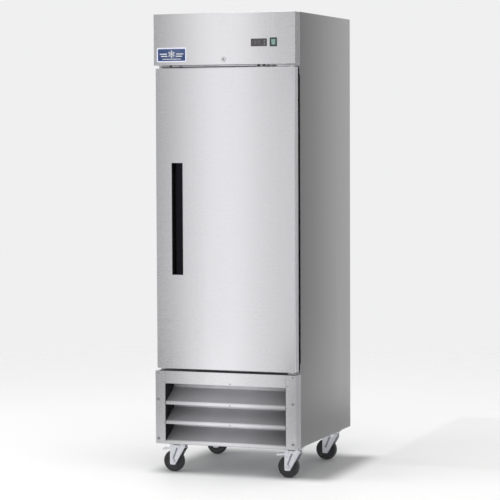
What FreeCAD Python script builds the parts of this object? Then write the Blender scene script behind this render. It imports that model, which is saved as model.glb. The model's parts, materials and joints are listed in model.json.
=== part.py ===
import FreeCAD, Part
import math
import os
import re
import Sketcher

# One-door reach-in refrigerator on swivel casters. Millimetres, seen from the front:
# X to the right, Y to the back, Z up from the floor, origin under the middle of the whole.

DIMENSIONS = {
    "width": 680, "depth": 818, "height": 2100, "projection": 70, "relief": 2,
    "sheet": 1.2, "wall": 50, "gap": 0.05, "edge_round": 2.5,
    "base_z": 138, "pan": 3, "over": 3, "grille_top": 474, "door_low": 486, "door_top": 1854,
    "header_low": 1867, "floor_z": 530, "lintel_z": 1815, "ceiling_z": 2048,
    "door_left_gap": 9, "door_right_gap": 1, "door_pan": 44, "door_inset": 4,
    "door_frame_deep": 11, "door_frame_wide": 45, "panel_dish": 8, "gasket_wide": 16,
    "gasket_inset": 9, "hinge_gasket_inset": 23, "seal_gap": 0.3,
    "grip_left": -252, "slot_right": -229, "grip_right": -202, "grip_low": 917.5,
    "grip_top": 1423.5, "pocket_deep": 40, "pocket_wall": 1.5, "pocket_flange": 6,
    "grip_thick": 7, "grip_hook": 9, "grip_lip": 4, "grip_back": 0.4, "grip_round": 1.5,
    "hinge_x": 318, "hinge_back": 16, "pin_r": 6, "bush_r": 10, "bush_long": 22,
    "plate_thick": 3.5, "plate_gap": 4, "top_plate_left": 257, "top_plate_inset": 1,
    "low_plate_left": 300, "low_plate_inset": 8, "hinge_tab": 19, "tab_high": 38,
    "louvre_pitch": 90, "lip_high": 10.5, "first_lip": 151, "louvre_half": 292.5,
    "louvre_rise": 56.5, "louvre_run": 102, "flange_high": 20, "rail_low": 417,
    "screw_r": 3, "panel_screw_r": 4.5, "screw_proud": 1.2, "screw_in": 5, "screw_up": 6,
    "middle_screw_x": 24, "corner_screw_in": 14, "low_screw_up": 24, "mid_screw_up": 205,
    "top_screw_down": 9, "stop_back": 20,
    "badge_x": -250, "badge_z": 1914.5, "badge_wide": 144, "badge_high": 65, "badge_round": 7,
    "control_x": 170.5, "control_z": 1964, "control_wide": 75, "control_high": 34,
    "control_deep": 55, "window_x": 162, "window_wide": 46, "window_high": 22,
    "window_thick": 1, "key_x": 197, "key_pitch": 13, "key_size": 9, "key_deep": 3,
    "key_proud": 0.2, "key_gap": 0.2, "bezel_lap": 2,
    "switch_x": 239, "switch_z": 1965, "switch_wide": 34, "switch_high": 39.5,
    "switch_deep": 20, "switch_floor": 3, "rocker_wide": 20, "rocker_high": 25, "rocker_tip": 1.65,
    "rocker_lip": 3, "rocker_back": 11, "rocker_gap": 1.1,
    "lock_z": 1891, "lock_rim_r": 11, "lock_barrel_r": 9, "lock_plug_r": 6,
    "lock_deep": 18, "cam_long": 45, "cam_wide": 10, "cam_thick": 2, "cam_gap": 0.5,
    "keyway_wide": 1.4, "keyway_high": 8, "keyway_deep": 6, "cam_clear": 14,
    "standard_deep": 8, "standard_wide": 20, "standard_front": -240, "standard_back": 270,
    "standard_low": 560, "standard_top": 1790, "shelf_low": 800, "shelf_pitch": 330,
    "shelf_half": 277, "shelf_front": -300, "shelf_back": 330, "shelf_bar": 8,
    "wire_r": 2.2, "wire_pitch": 23, "clip_out": 14, "clip_high": 9, "clip_inset": 3,
    "cooler_half": 270, "cooler_front": -40, "cooler_back": 340, "cooler_low": 1885,
    "cooler_fan_x": -130, "cooler_fan_y": 150, "cooler_fan_r": 84, "cooler_hole_r": 90,
    "coil_left": 10, "coil_right": 255, "coil_front": 60, "coil_high": 130, "coil_clear": 20,
    "inlet_pitch": 130, "inlet_wide": 90, "inlet_inset": 40, "cooler_fan_lift": 3,
    "lamp_half": 70, "lamp_front": -250, "lamp_deep": 45, "lamp_drop": 22,
    "cond_left": -290, "cond_right": 20, "cond_front": -285, "cond_deep": 50,
    "cond_low": 155, "cond_top": 450, "shroud_deep": 45, "fan_x": -135, "fan_z": 302,
    "fan_r": 122, "fan_hole_r": 128, "fan_back": 20, "hub_r": 32, "hub_deep": 26,
    "blade_thick": 2, "blade_chord": 50,
    "comp_x": 175, "comp_y": 60, "comp_r": 92, "comp_high": 200, "comp_lift": 22,
    "comp_toe": 12, "comp_dome": 60, "comp_shoulder": 34, "comp_foot_x": 75, "comp_foot_y": 63,
    "comp_margin": 20, "terminal_out": 34, "terminal_wide": 70, "terminal_low": 50,
    "terminal_high": 70, "mount_r": 14, "pipe_r": 5,
    "drip_left": -280, "drip_right": -30, "drip_front": 180, "drip_back": 380,
    "drip_high": 45, "drip_wall": 3, "box_left": 205, "box_right": 320, "box_front": -285,
    "box_back": -165,
    "box_high": 110, "gland_x": 250, "gland_z": 205, "gland_bore_r": 5.5, "gland_r": 11,
    "gland_long": 24, "gland_nut_r": 15, "gland_step": 6, "vent_slot": 220, "vent_high": 7,
    "vent_pitch": 24, "vent_down": 45, "vent_left": -145, "vent_right": 95,
    "wheel_r": 50, "wheel_wide": 25, "wheel_hub_wide": 27, "wheel_hub_r": 17,
    "wheel_dish_r": 37, "wheel_dish": 4, "wheel_step": 2, "tread_step": 4, "tread_round": 3,
    "trail": 22, "left_wheel_x": -279, "right_wheel_x": 280, "front_wheel_y": -331,
    "rear_wheel_y": 221, "caster_plate": 74, "caster_plate_long": 90,
    "caster_plate_thick": 3.5, "race_r": 26, "race_high": 8, "crown_low": 113,
    "kingpin_r": 6, "leg_thick": 3, "leg_gap": 14.5, "leg_round": 6, "fork_left": 16, "fork_foot": 11, "fork_right": 58, "fork_drop": 17,
    "axle_r": 6, "axle_head_r": 9, "axle_head": 5, "bolt_r": 5, "bolt_inset": 10, "bolt_high": 5,
    "brake_x": -12, "brake_z": 108, "brake_pin_r": 3, "brake_half": 12.5,
}

doc = FreeCAD.newDocument("ReachInRefrigerator")
dims = doc.addObject("Spreadsheet::Sheet", "Dims")
for row, (alias, value) in enumerate(DIMENSIONS.items(), start=1):
    dims.set("A%d" % row, alias)
    dims.set("B%d" % row, str(value))
    dims.setAlias("B%d" % row, alias)
doc.recompute()

# Derived planes, written as expressions of the named sizes
SIDE = "(width / 2)"
SKIN = "(width / 2 - sheet)"
INNER = "(width / 2 - wall)"
FACE = "(relief - depth / 2)"
PROUD = "(0 - depth / 2)"
FRONT = "(relief - depth / 2 + projection)"
REAR = "(depth / 2)"
INNER_BACK = "(depth / 2 - wall)"
DECK_TOP = "(grille_top + sheet)"
DOOR_LEFT = "(door_left_gap - width / 2)"
DOOR_RIGHT = "(width / 2 - door_right_gap)"
DOOR_PAN_BACK = "(relief - depth / 2 + door_pan)"
DOOR_BACK = "(relief - depth / 2 + door_pan + door_frame_deep)"
HINGE_Y = "(relief - depth / 2 + hinge_back)"
PAN_TOP = "(base_z + pan)"

# Brake pedal seen from the side: distance left of the wheel centre, height above its pin
PEDAL = [(7, 3.2), (7, -4), (20, -5), (46, -9), (55, -8), (56, -3), (50, 1), (22, 3)]
DOOR_STOPS = ["-258", "167", "193"]
# Corner points of the suction and liquid lines, up to the underside of the cold box
PIPES = [
    [("100", "165", "396"), ("100", "165", "430"), ("100", "330", "430"), ("100", "330", "471")],
    [("26", "-275", "420"), ("60", "-275", "420"), ("60", "-60", "420"), ("60", "-60", "471")],
]
FAN_PITCH = 24

ORIGIN = FreeCAD.Vector(0, 0, 0)
TURN = {
    "x": FreeCAD.Rotation(FreeCAD.Vector(0, 1, 0), 90),
    "y": FreeCAD.Rotation(FreeCAD.Vector(1, 0, 0), -90),
    "z": FreeCAD.Rotation(),
}
TURN_FLAT = {"z": FreeCAD.Rotation(), "y": FreeCAD.Rotation(FreeCAD.Vector(1, 0, 0), 90)}
PLANE = {"x": "YZ_Plane", "y": "XZ_Plane", "z": "XY_Plane"}
NODES = []


def bound(text):
    """Point every size name in an expression at the spreadsheet."""
    return re.sub(r"[a-z_]\w*", lambda found: "Dims." + found.group(0), text)


def bind(obj, **expressions):
    for path, text in expressions.items():
        obj.setExpression(path.replace("__", "."), bound(text))


def minus(text):
    return "(0 - (%s))" % text


def both(half):
    """Span from minus to plus a half size."""
    return minus(half), half


def around(centre, size):
    """Span of a full size about a centre."""
    return "%s - (%s) / 2" % (centre, size), "%s + (%s) / 2" % (centre, size)


def handed(sign, inner, outer):
    """Span between two distances from the middle plane, on the left (-1) or right (+1)."""
    return (inner, outer) if sign > 0 else (minus(outer), minus(inner))


def block(x, y, z):
    box = doc.addObject("Part::Box", "Block")
    for size, letter, (low, high) in zip(("Length", "Width", "Height"), "xyz", (x, y, z)):
        bind(box, **{size: "(%s) - (%s)" % (high, low), "Placement__Base__" + letter: low})
    return box


def rod(axis, radius, across, span):
    """Cylinder along a row axis; across holds the other two coordinates in X, Y, Z order."""
    cylinder = doc.addObject("Part::Cylinder", "Rod")
    cylinder.Placement = FreeCAD.Placement(ORIGIN, TURN[axis])
    position = dict(zip([letter for letter in "xyz" if letter != axis], across))
    position[axis] = span[0]
    bind(cylinder, Radius=radius, Height="(%s) - (%s)" % (span[1], span[0]))
    bind(cylinder, **{"Placement__Base__" + letter: position[letter] for letter in "xyz"})
    return cylinder


def ball(radius, centre):
    sphere = doc.addObject("Part::Sphere", "Ball")
    bind(sphere, Radius=radius)
    bind(sphere, **{"Placement__Base__" + letter: value for letter, value in zip("xyz", centre)})
    return sphere


def fuse(shapes):
    union = doc.addObject("Part::MultiFuse", "Union")
    union.Shapes = list(shapes)
    return union


def cut(base, tools):
    """Take one or more tools away from a shape."""
    tools = list(tools)
    result = doc.addObject("Part::Cut", "Trimmed")
    result.Base = base
    result.Tool = tools[0] if len(tools) == 1 else fuse(tools)
    return result


def outline(sketch, points):
    """Closed polygon whose every corner is placed by two expressions."""
    first = sketch.GeometryCount
    count = len(points)
    angles = [2 * math.pi * (i + 0.5) / count for i in range(count)]
    corners = [FreeCAD.Vector(100 * math.cos(a), 100 * math.sin(a), 0) for a in angles]
    for i in range(count):
        sketch.addGeometry(Part.LineSegment(corners[i], corners[(i + 1) % count]))
    for i in range(count):
        following = first + (i + 1) % count
        sketch.addConstraint(Sketcher.Constraint("Coincident", first + i, 2, following, 1))
    for i, place in enumerate(points):
        for kind, text, start in zip(("DistanceX", "DistanceY"), place, corners[i]):
            where = Sketcher.Constraint(kind, -1, 1, first + i, 1, start)
            index = sketch.addConstraint(where)
            sketch.setExpression("Constraints[%d]" % index, bound(text))


def new_sketch(body, axis, offset):
    sketch = body.newObject("Sketcher::SketchObject", "Sketch")
    plane = [item for item in body.Origin.OriginFeatures if item.Role == PLANE[axis]][0]
    sketch.AttachmentSupport = [(plane, "")]
    sketch.MapMode = "FlatFace"
    bind(sketch, AttachmentOffset__Base__z=offset)
    return sketch


def prism(axis, points, span):
    """Polygon extruded along a row axis; points use the other two axes in X, Y, Z order."""
    body = doc.addObject("PartDesign::Body", "Prism")
    low, high = span
    sketch = new_sketch(body, axis, minus(high) if axis == "y" else low)
    outline(sketch, points)
    pad = body.newObject("PartDesign::Pad", "Pad")
    pad.Profile = sketch
    bind(pad, Length="(%s) - (%s)" % (high, low))
    return body


def turned(points, centre, axis="z"):
    """Profile of (radius, length) corners turned about a line along a row axis."""
    body = doc.addObject("PartDesign::Body", "Turned")
    sketch = new_sketch(body, "y", "0")
    outline(sketch, points)
    spin = body.newObject("PartDesign::Revolution", "Revolution")
    spin.Profile = sketch
    spin.ReferenceAxis = (sketch, ["V_Axis"])
    spin.Angle = 360
    body.Placement = FreeCAD.Placement(ORIGIN, TURN[axis])
    bind(body, **{"Placement__Base__" + letter: value for letter, value in zip("xyz", centre)})
    return body


def rounded(body, radius, chosen):
    """Fillet the edges of a body that the chosen test accepts."""
    doc.recompute()
    base = body.Tip
    names = ["Edge%d" % (i + 1) for i, edge in enumerate(base.Shape.Edges) if chosen(edge)]
    fillet = body.newObject("PartDesign::Fillet", "Fillet")
    fillet.Base = (base, names)
    bind(fillet, Radius=radius)
    return body


def along(axis):
    """Test for straight edges that run along a row axis."""
    index = "xyz".index(axis)

    def chosen(edge):
        box = edge.BoundBox
        size = (box.XLength, box.YLength, box.ZLength)
        return size[index] > 1e-6 and sum(size) - size[index] < 1e-6

    return chosen


def outer_rim(edge):
    """Test for the front edges of a pan and the four edges that run back from its corners."""
    face_y = DIMENSIONS["relief"] - DIMENSIONS["depth"] / 2
    return edge.BoundBox.YMax < face_y + 0.01 or along("y")(edge)


def rectangle(x, z):
    return [(x[0], z[0]), (x[1], z[0]), (x[1], z[1]), (x[0], z[1])]


def node(name, *shapes):
    """Give one separate piece, or a set of like pieces, its own name."""
    if len(shapes) == 1:
        item = shapes[0]
    else:
        item = doc.addObject("Part::Compound", "Set")
        item.Links = list(shapes)
    item.Label = name
    NODES.append(item)


def pan_shell(x, z, depth_end):
    """Folded steel pan, open at the back, with softly bent front edges."""
    solid = rounded(prism("y", rectangle(x, z), (FACE, depth_end)), "edge_round", outer_rim)
    hollow = block(
        (x[0] + " + sheet", x[1] + " - sheet"),
        (FACE + " + sheet", depth_end + " + over"),
        (z[0] + " + sheet", z[1] + " - sheet"),
    )
    return solid, hollow


def channel(x, y, z):
    """Sheet-metal member open at the back."""
    hollow = block(
        (x[0] + " + sheet", x[1] + " - sheet"),
        (y[0] + " + sheet", y[1] + " + over"),
        (z[0] + " + sheet", z[1] + " - sheet"),
    )
    return cut(block(x, y, z), [hollow])


def propeller(axis, across, low, radius, blades):
    """Axial fan: a hub that turns with its pitched blades."""
    hub = rod(axis, "hub_r", across, (low, "%s + hub_deep" % low))
    doc.recompute()
    middle = hub.Shape.CenterOfMass
    parts = [hub]
    chord = DIMENSIONS["blade_chord"]
    start = FreeCAD.Vector(DIMENSIONS["hub_r"] - DIMENSIONS["over"], -chord / 2.0, 0)
    pitch = FreeCAD.Rotation(FreeCAD.Vector(1, 0, 0), FAN_PITCH)
    axis_vector = TURN[axis].multVec(FreeCAD.Vector(0, 0, 1))
    for i in range(blades):
        blade = doc.addObject("Part::Box", "Blade")
        bind(blade, Length="%s - hub_r + over" % radius, Width="blade_chord", Height="blade_thick")
        sweep = FreeCAD.Rotation(axis_vector, 360.0 / blades * i)
        turn = sweep.multiply(TURN_FLAT[axis]).multiply(pitch)
        blade.Placement = FreeCAD.Placement(middle + turn.multVec(start), turn)
        parts.append(blade)
    return fuse(parts)


def tube(points):
    """Round pipe through axis-aligned corner points."""
    parts = [ball("pipe_r", point) for point in points[1:-1]]
    for start, end in zip(points, points[1:]):
        letter = [name for name, a, b in zip("xyz", start, end) if a != b][0]
        index = "xyz".index(letter)
        across = [value for i, value in enumerate(start) if i != index]
        parts.append(rod(letter, "pipe_r", across, sorted((start[index], end[index]), key=float)))
    return fuse(parts)


# --- Cabinet shell -------------------------------------------------------------------------
for side, sign in (("left", -1), ("right", 1)):
    panel = block(handed(sign, SKIN, SIDE), (FRONT, REAR), ("base_z", "height"))
    node("side_panel_" + side, panel)
node("top_panel", block(both(SKIN), (FRONT, REAR), ("height - sheet", "height")))
behind_face = (FRONT + " + sheet", REAR + " - sheet")
node(
    "rear_and_deck_panels",
    block(both(SKIN), (REAR + " - sheet", REAR), ("grille_top", "height - sheet")),
    block(both(SKIN), behind_face, ("grille_top", DECK_TOP)),
)
node(
    "base_pan",
    block(both(SKIN), (FACE + " + sheet", REAR + " - sheet"), ("base_z", PAN_TOP)),
)

liner_x = both(INNER + " + sheet")
to_back = (FRONT + " + sheet", INNER_BACK + " + sheet")
walls = [
    block(handed(sign, INNER + " + sheet", SKIN), behind_face, (DECK_TOP, "height - sheet"))
    for sign in (-1, 1)
]
lintel_y = (FRONT + " + sheet", FRONT + " + wall - sheet")
node(
    "insulation",
    *walls,
    block(liner_x, (INNER_BACK + " + sheet", REAR + " - sheet"), (DECK_TOP, "height - sheet")),
    block(liner_x, to_back, ("ceiling_z + sheet", "height - sheet")),
    block(liner_x, to_back, (DECK_TOP, "floor_z - sheet")),
    block(both(INNER), lintel_y, ("lintel_z + sheet", "ceiling_z")),
)
liner_z = ("floor_z - sheet", "ceiling_z + sheet")
in_box = (FRONT + " + sheet", INNER_BACK)
liner = [block(handed(sign, INNER, INNER + " + sheet"), to_back, liner_z) for sign in (-1, 1)]
node(
    "inner_liner",
    *liner,
    block(both(INNER), (INNER_BACK, INNER_BACK + " + sheet"), liner_z),
    block(both(INNER), in_box, ("floor_z - sheet", "floor_z")),
    block(both(INNER), in_box, ("ceiling_z", "ceiling_z + sheet")),
    block(both(INNER), (lintel_y[1], FRONT + " + wall"), ("lintel_z", "ceiling_z")),
    block(both(INNER), lintel_y, ("lintel_z", "lintel_z + sheet")),
)
face_y = (FRONT, FRONT + " + sheet")
jambs = [block(handed(s, INNER, SKIN), face_y, ("grille_top", "height - sheet")) for s in (-1, 1)]
node(
    "front_frame",
    *jambs,
    block(both(INNER), face_y, ("lintel_z", "height - sheet")),
    block(both(INNER), face_y, ("grille_top", "floor_z")),
)

# --- Inside of the cold space --------------------------------------------------------------
standards, clips = [], []
for sign in (-1, 1):
    for place in ("standard_front", "standard_back"):
        y = (place, place + " + standard_wide")
        strip = block(handed(sign, INNER + " - standard_deep", INNER), y,
                      ("standard_low", "standard_top"))
        standards.append(strip)
        for level in range(3):
            top = "shelf_low + %d * shelf_pitch" % level
            reach = (INNER + " - standard_deep - clip_out", INNER + " - standard_deep")
            inside = (place + " + clip_inset", place + " + standard_wide - clip_inset")
            clips.append(block(handed(sign, *reach), inside, (top + " - clip_high", top)))
node("shelf_standards", *standards)
node("shelf_clips", *clips)


def shelf(level):
    """Wire shelf: a bar frame with round wires let into its top."""
    low = "shelf_low + %d * shelf_pitch" % level
    z = (low, low + " + shelf_bar")
    ends = ("shelf_front", "shelf_back")
    parts = [block(handed(s, "shelf_half - shelf_bar", "shelf_half"), ends, z) for s in (-1, 1)]
    for start in ("shelf_front", "(shelf_front + shelf_back) / 2", "shelf_back - shelf_bar"):
        parts.append(block(both("shelf_half"), (start, start + " + shelf_bar"), z))
    count = int((DIMENSIONS["shelf_half"] - 12) / DIMENSIONS["wire_pitch"])
    for i in range(-count, count + 1):
        parts.append(rod("y", "wire_r", ("%d * wire_pitch" % i, low + " + shelf_bar"), ends))
    return fuse(parts)


for level, name in enumerate(("lower", "middle", "upper")):
    node("shelf_" + name, shelf(level))

cooler = block(both("cooler_half"), ("cooler_front", "cooler_back"), ("cooler_low", "ceiling_z"))
cooler_hollow = block(
    both("cooler_half - sheet"),
    ("cooler_front + sheet", "cooler_back - sheet"),
    ("cooler_low + sheet", "ceiling_z + over"),
)
fan_spot = ("cooler_fan_x", "cooler_fan_y")
fan_hole = rod("z", "cooler_hole_r", fan_spot, ("cooler_low - over", "cooler_low + over"))
inlets = [
    block(around("%d * inlet_pitch" % i, "inlet_wide"), ("cooler_front - over", "cooler_front + over"),
          ("cooler_low + inlet_inset", "ceiling_z - inlet_inset"))
    for i in (-1, 0, 1)
]
node("evaporator_housing", cut(cooler, [cooler_hollow, fan_hole] + inlets))
coil_y = ("coil_front", "cooler_back - coil_clear")
coil_z = ("ceiling_z - coil_high", "ceiling_z - sheet")
node("evaporator_coil", block(("coil_left", "coil_right"), coil_y, coil_z))
node("evaporator_fan", propeller("z", fan_spot, "cooler_low + cooler_fan_lift", "cooler_fan_r", 4))
lamp_y = ("lamp_front", "lamp_front + lamp_deep")
lamp = prism("z", [("0 - lamp_half", lamp_y[0]), ("lamp_half", lamp_y[0]),
                   ("lamp_half", lamp_y[1]), ("0 - lamp_half", lamp_y[1])],
             ("ceiling_z - lamp_drop", "ceiling_z"))
node("interior_lamp", rounded(lamp, "edge_round", along("z")))

# --- Header with controls, lock and badge --------------------------------------------------
header, header_hollow = pan_shell(both(SIDE), ("header_low", "height"), FRONT)
through = (FACE + " - over", FACE + " + over")
lock_hole = rod("y", "lock_barrel_r", ("0", "lock_z"), through)
cam_slot = block(
    ("0 - cam_wide", "cam_long"),
    (FACE + " + lock_deep - cam_thick", FACE + " + lock_deep + 3 * cam_thick"),
    ("header_low - over", "header_low + over"),
)
control_body_x = around("control_x", "control_wide - 2 * bezel_lap")
control_body_z = around("control_z", "control_high - 2 * bezel_lap")
switch_body_x = around("switch_x", "switch_wide - 2 * bezel_lap")
switch_body_z = around("switch_z", "switch_high - 2 * bezel_lap")
header_holes = [
    header_hollow,
    lock_hole,
    cam_slot,
    block(control_body_x, through, control_body_z),
    block(switch_body_x, through, switch_body_z),
]
node("header_panel", cut(header, header_holes))

badge = prism("y", rectangle(around("badge_x", "badge_wide"), around("badge_z", "badge_high")),
              (PROUD, FACE))
node("badge", rounded(badge, "badge_round", along("y")))

control_bezel = prism(
    "y", rectangle(around("control_x", "control_wide"), around("control_z", "control_high")),
    (PROUD, FACE),
)
control_case = block(control_body_x, (FACE, FACE + " + control_deep"), control_body_z)
window_x = around("window_x", "window_wide")
window_z = around("control_z", "window_high")
window_y = (PROUD, PROUD + " + window_thick")
keys, key_wells = [], []
for i in (-1, 1):
    z = "control_z + %d * key_pitch / 2" % i
    keys.append(prism("y", rectangle(around("key_x", "key_size"), around(z, "key_size")),
                      (PROUD + " + key_proud", PROUD + " + key_deep")))
    well = "key_size + 2 * key_gap"
    key_wells.append(block(around("key_x", well), (PROUD + " - over", PROUD + " + 2 * key_deep"),
                           around(z, well)))
window_well = block(window_x, (PROUD + " - over", window_y[1]), window_z)
control = fuse([rounded(control_bezel, "edge_round", along("y")), control_case])
node("controller_body", cut(control, [window_well] + key_wells))
node("controller_window", block(window_x, window_y, window_z))
for name, key in zip(("down", "up"), keys):
    node("key_" + name, key)

switch_bezel = prism(
    "y", rectangle(around("switch_x", "switch_wide"), around("switch_z", "switch_high")),
    (PROUD, FACE),
)
switch_case = block(switch_body_x, (FACE, FACE + " + switch_deep"), switch_body_z)
switch_well = block(
    around("switch_x", "rocker_wide + 2 * key_gap"),
    (PROUD + " - over", FACE + " + switch_deep - switch_floor"),
    around("switch_z", "rocker_high + 2 * rocker_gap"),
)
switch = fuse([rounded(switch_bezel, "edge_round", along("y")), switch_case])
node("switch_body", cut(switch, [switch_well]))
half_rocker = "rocker_high / 2"
rocker = prism(
    "x",
    [
        (FACE + " + rocker_tip", "switch_z - " + half_rocker),
        (FACE + " - rocker_tip", "switch_z + " + half_rocker),
        (FACE + " + rocker_tip + rocker_lip", "switch_z + " + half_rocker + " - rocker_tip / 2"),
        (FACE + " + rocker_back", "switch_z + rocker_high / 4"),
        (FACE + " + rocker_back", "switch_z - rocker_high / 4"),
    ],
    around("switch_x", "rocker_wide"),
)
node("rocker", rocker)

lock_middle = ("0", "lock_z")
barrel = fuse([
    rod("y", "lock_rim_r", lock_middle, (PROUD, FACE)),
    rod("y", "lock_barrel_r", lock_middle, (FACE, FACE + " + lock_deep")),
])
bore_y = (PROUD + " - over", FACE + " + lock_deep + over")
plug_hole = rod("y", "lock_plug_r + gap", lock_middle, bore_y)
node("lock_barrel", cut(barrel, [plug_hole]))
cam_y = (FACE + " + lock_deep + cam_gap", FACE + " + lock_deep + cam_gap + cam_thick")
plug = rod("y", "lock_plug_r", lock_middle, (PROUD, cam_y[1]))
cam = block(("0", "cam_long"), cam_y, around("lock_z", "cam_wide"))
keyway = block(around("0", "keyway_wide"), (PROUD + " - over", PROUD + " + keyway_deep"),
               around("lock_z", "keyway_high"))
node("lock_plug", cut(fuse([plug, cam]), [keyway]))

# --- Front grille --------------------------------------------------------------------------
front_y = (FACE, FRONT)
grille_z = (PAN_TOP, "grille_top")
stiles = [channel(handed(s, "louvre_half", SIDE), front_y, grille_z) for s in (-1, 1)]
rails = [
    channel(both("louvre_half"), front_y, ("rail_low", "grille_top")),
    block(both("louvre_half"), (FACE, FACE + " + sheet"), (PAN_TOP, "first_lip")),
]
node("grille_frame", *stiles, *rails)


def louvre(index):
    """Bent blade: an upright lip, a slope that rises to the back, and an upright rear flange."""
    top = "(first_lip + %d * louvre_pitch)" % index
    low = top + (" - lip_high" if index else " + 0")
    back = FACE + " + sheet + louvre_run"
    points = [
        (FACE, low),
        (FACE + " + sheet", low),
        (FACE + " + sheet", top),
        (back, top + " + louvre_rise"),
        (back, top + " + louvre_rise + flange_high"),
        (back + " - sheet", top + " + louvre_rise + flange_high"),
        (back + " - sheet", top + " + louvre_rise + sheet"),
        (FACE, top + " + sheet"),
    ]
    return prism("x", points, both("louvre_half - edge_round"))


node("louvre_blades", *[louvre(index) for index in range(3)])

head_y = (FACE + " - screw_proud", FACE)
lip_screw_z = ["first_lip + %d * louvre_pitch - screw_up" % row for row in (1, 2)]
small_screw_z = lip_screw_z + ["rail_low + screw_up"]
large_screw_z = ["base_z + low_screw_up", "base_z + mid_screw_up", "grille_top - top_screw_down"]
small_screws = [
    rod("y", "screw_r", (x, z), head_y)
    for x in ("0 - louvre_half - screw_in", "middle_screw_x", "louvre_half + screw_in")
    for z in small_screw_z
]
large_screws = [
    rod("y", "panel_screw_r", (x, z), head_y)
    for x in ("corner_screw_in - width / 2", "width / 2 - corner_screw_in")
    for z in large_screw_z
]
door_stops = [
    rod("z", "screw_r", (x, FACE + " + stop_back"), ("header_low - screw_proud", "header_low"))
    for x in DOOR_STOPS
]
node("panel_screws", *small_screws, *large_screws, *door_stops)

# --- Machine space -------------------------------------------------------------------------
cond_z = ("cond_low", "cond_top")
cond_back = "cond_front + cond_deep"
node("condenser_coil", block(("cond_left", "cond_right"), ("cond_front", cond_back), cond_z))
shroud = block(("cond_left", "cond_right"), (cond_back, cond_back + " + shroud_deep"), cond_z)
shroud_hollow = block(
    ("cond_left + sheet", "cond_right - sheet"),
    (cond_back + " - over", cond_back + " + shroud_deep - sheet"),
    ("cond_low + sheet", "cond_top - sheet"),
)
fan_y = cond_back + " + shroud_deep"
shroud_hole = rod("y", "fan_hole_r", ("fan_x", "fan_z"), (fan_y + " - over", fan_y + " + over"))
node("condenser_shroud", cut(shroud, [shroud_hollow, shroud_hole]))
node("condenser_fan", propeller("y", ("fan_x", "fan_z"), fan_y + " - fan_back", "fan_r", 5))

comp_low = PAN_TOP + " + comp_lift"
compressor = turned(
    [
        ("0", comp_low),
        ("comp_r - comp_toe", comp_low),
        ("comp_r", comp_low + " + comp_toe"),
        ("comp_r", comp_low + " + comp_high - comp_dome"),
        ("comp_r - comp_shoulder", comp_low + " + comp_high - comp_toe"),
        ("0", comp_low + " + comp_high"),
    ],
    ("comp_x", "comp_y", "0"),
)
plate_low = comp_low + " - pan"
comp_plate = block(
    around("comp_x", "2 * (comp_foot_x + comp_margin)"),
    around("comp_y", "2 * (comp_foot_y + comp_margin)"),
    (plate_low, comp_low + " + pan"),
)
terminal_low = comp_low + " + terminal_low"
terminal = block(
    ("comp_x + comp_r - comp_toe", "comp_x + comp_r + terminal_out"),
    around("comp_y", "terminal_wide"),
    (terminal_low, terminal_low + " + terminal_high"),
)
node("compressor", fuse([compressor, comp_plate, terminal]))
feet = [
    rod("z", "mount_r", ("comp_x + %d * comp_foot_x" % i, "comp_y + %d * comp_foot_y" % j),
        (PAN_TOP, plate_low))
    for i in (-1, 1) for j in (-1, 1)
]
node("compressor_mounts", *feet)
node("refrigerant_lines", *[tube(corners) for corners in PIPES])
drip_top = PAN_TOP + " + drip_high"
drip = block(("drip_left", "drip_right"), ("drip_front", "drip_back"), (PAN_TOP, drip_top))
drip_hollow = block(
    ("drip_left + drip_wall", "drip_right - drip_wall"),
    ("drip_front + drip_wall", "drip_back - drip_wall"),
    (PAN_TOP + " + drip_wall", drip_top + " + over"),
)
node("condensate_pan", cut(drip, [drip_hollow]))
node("electrical_box", block(("box_left", "box_right"), ("box_front", "box_back"),
                             (PAN_TOP, PAN_TOP + " + box_high")))

vent = block(both(SKIN), (REAR + " - sheet", REAR), ("base_z", "grille_top"))
vent_y = (REAR + " - over", REAR + " + over")
vent_rows = ["grille_top - vent_down - %d * vent_pitch" % row for row in range(7)]
slots = [
    block(around(x, "vent_slot"), vent_y, around(z, "vent_high"))
    for x in ("vent_left", "vent_right")
    for z in vent_rows
]
gland_hole = rod("y", "gland_r", ("gland_x", "gland_z"), vent_y)
node("rear_vent", cut(vent, slots + [gland_hole]))
gland_at = ("gland_x", "gland_z")
nut_y = (REAR + " - gland_long + gland_step", REAR + " - sheet - gland_step")
gland = fuse([
    rod("y", "gland_r", gland_at, (REAR + " - gland_long", REAR)),
    rod("y", "gland_nut_r", gland_at, nut_y),
])
gland_bore_y = (REAR + " - gland_long - over", REAR + " + over")
gland_bore = rod("y", "gland_bore_r", gland_at, gland_bore_y)
node("cord_gland", cut(gland, [gland_bore]))

# --- Hinges --------------------------------------------------------------------------------
hinge_spot = ("hinge_x", HINGE_Y)


def hinge_bracket(plate_left, plate_inset, plate_z, tab_z, pin_z):
    """Flat arm with a tab screwed to the cabinet and a pin for the door."""
    arm = block((plate_left, SKIN), (FACE + " + " + plate_inset, FRONT), plate_z)
    tab = block((SKIN + " - hinge_tab", SKIN), (FRONT + " - plate_thick", FRONT), tab_z)
    return fuse([arm, tab, rod("z", "pin_r", hinge_spot, pin_z)])


upper_z = ("door_top + plate_gap", "door_top + plate_gap + plate_thick")
lower_z = ("door_low - plate_gap - plate_thick", "door_low - plate_gap")
upper_arm = hinge_bracket(
    "top_plate_left", "top_plate_inset", upper_z, (upper_z[0] + " - tab_high", upper_z[0]),
    ("door_top - bush_long + plate_gap", upper_z[0]),
)
lower_arm = hinge_bracket(
    "low_plate_left", "low_plate_inset", lower_z, (lower_z[1], lower_z[1] + " + tab_high"),
    (lower_z[1], "door_low + bush_long - plate_gap"),
)
node("hinge_brackets", upper_arm, lower_arm)

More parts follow.
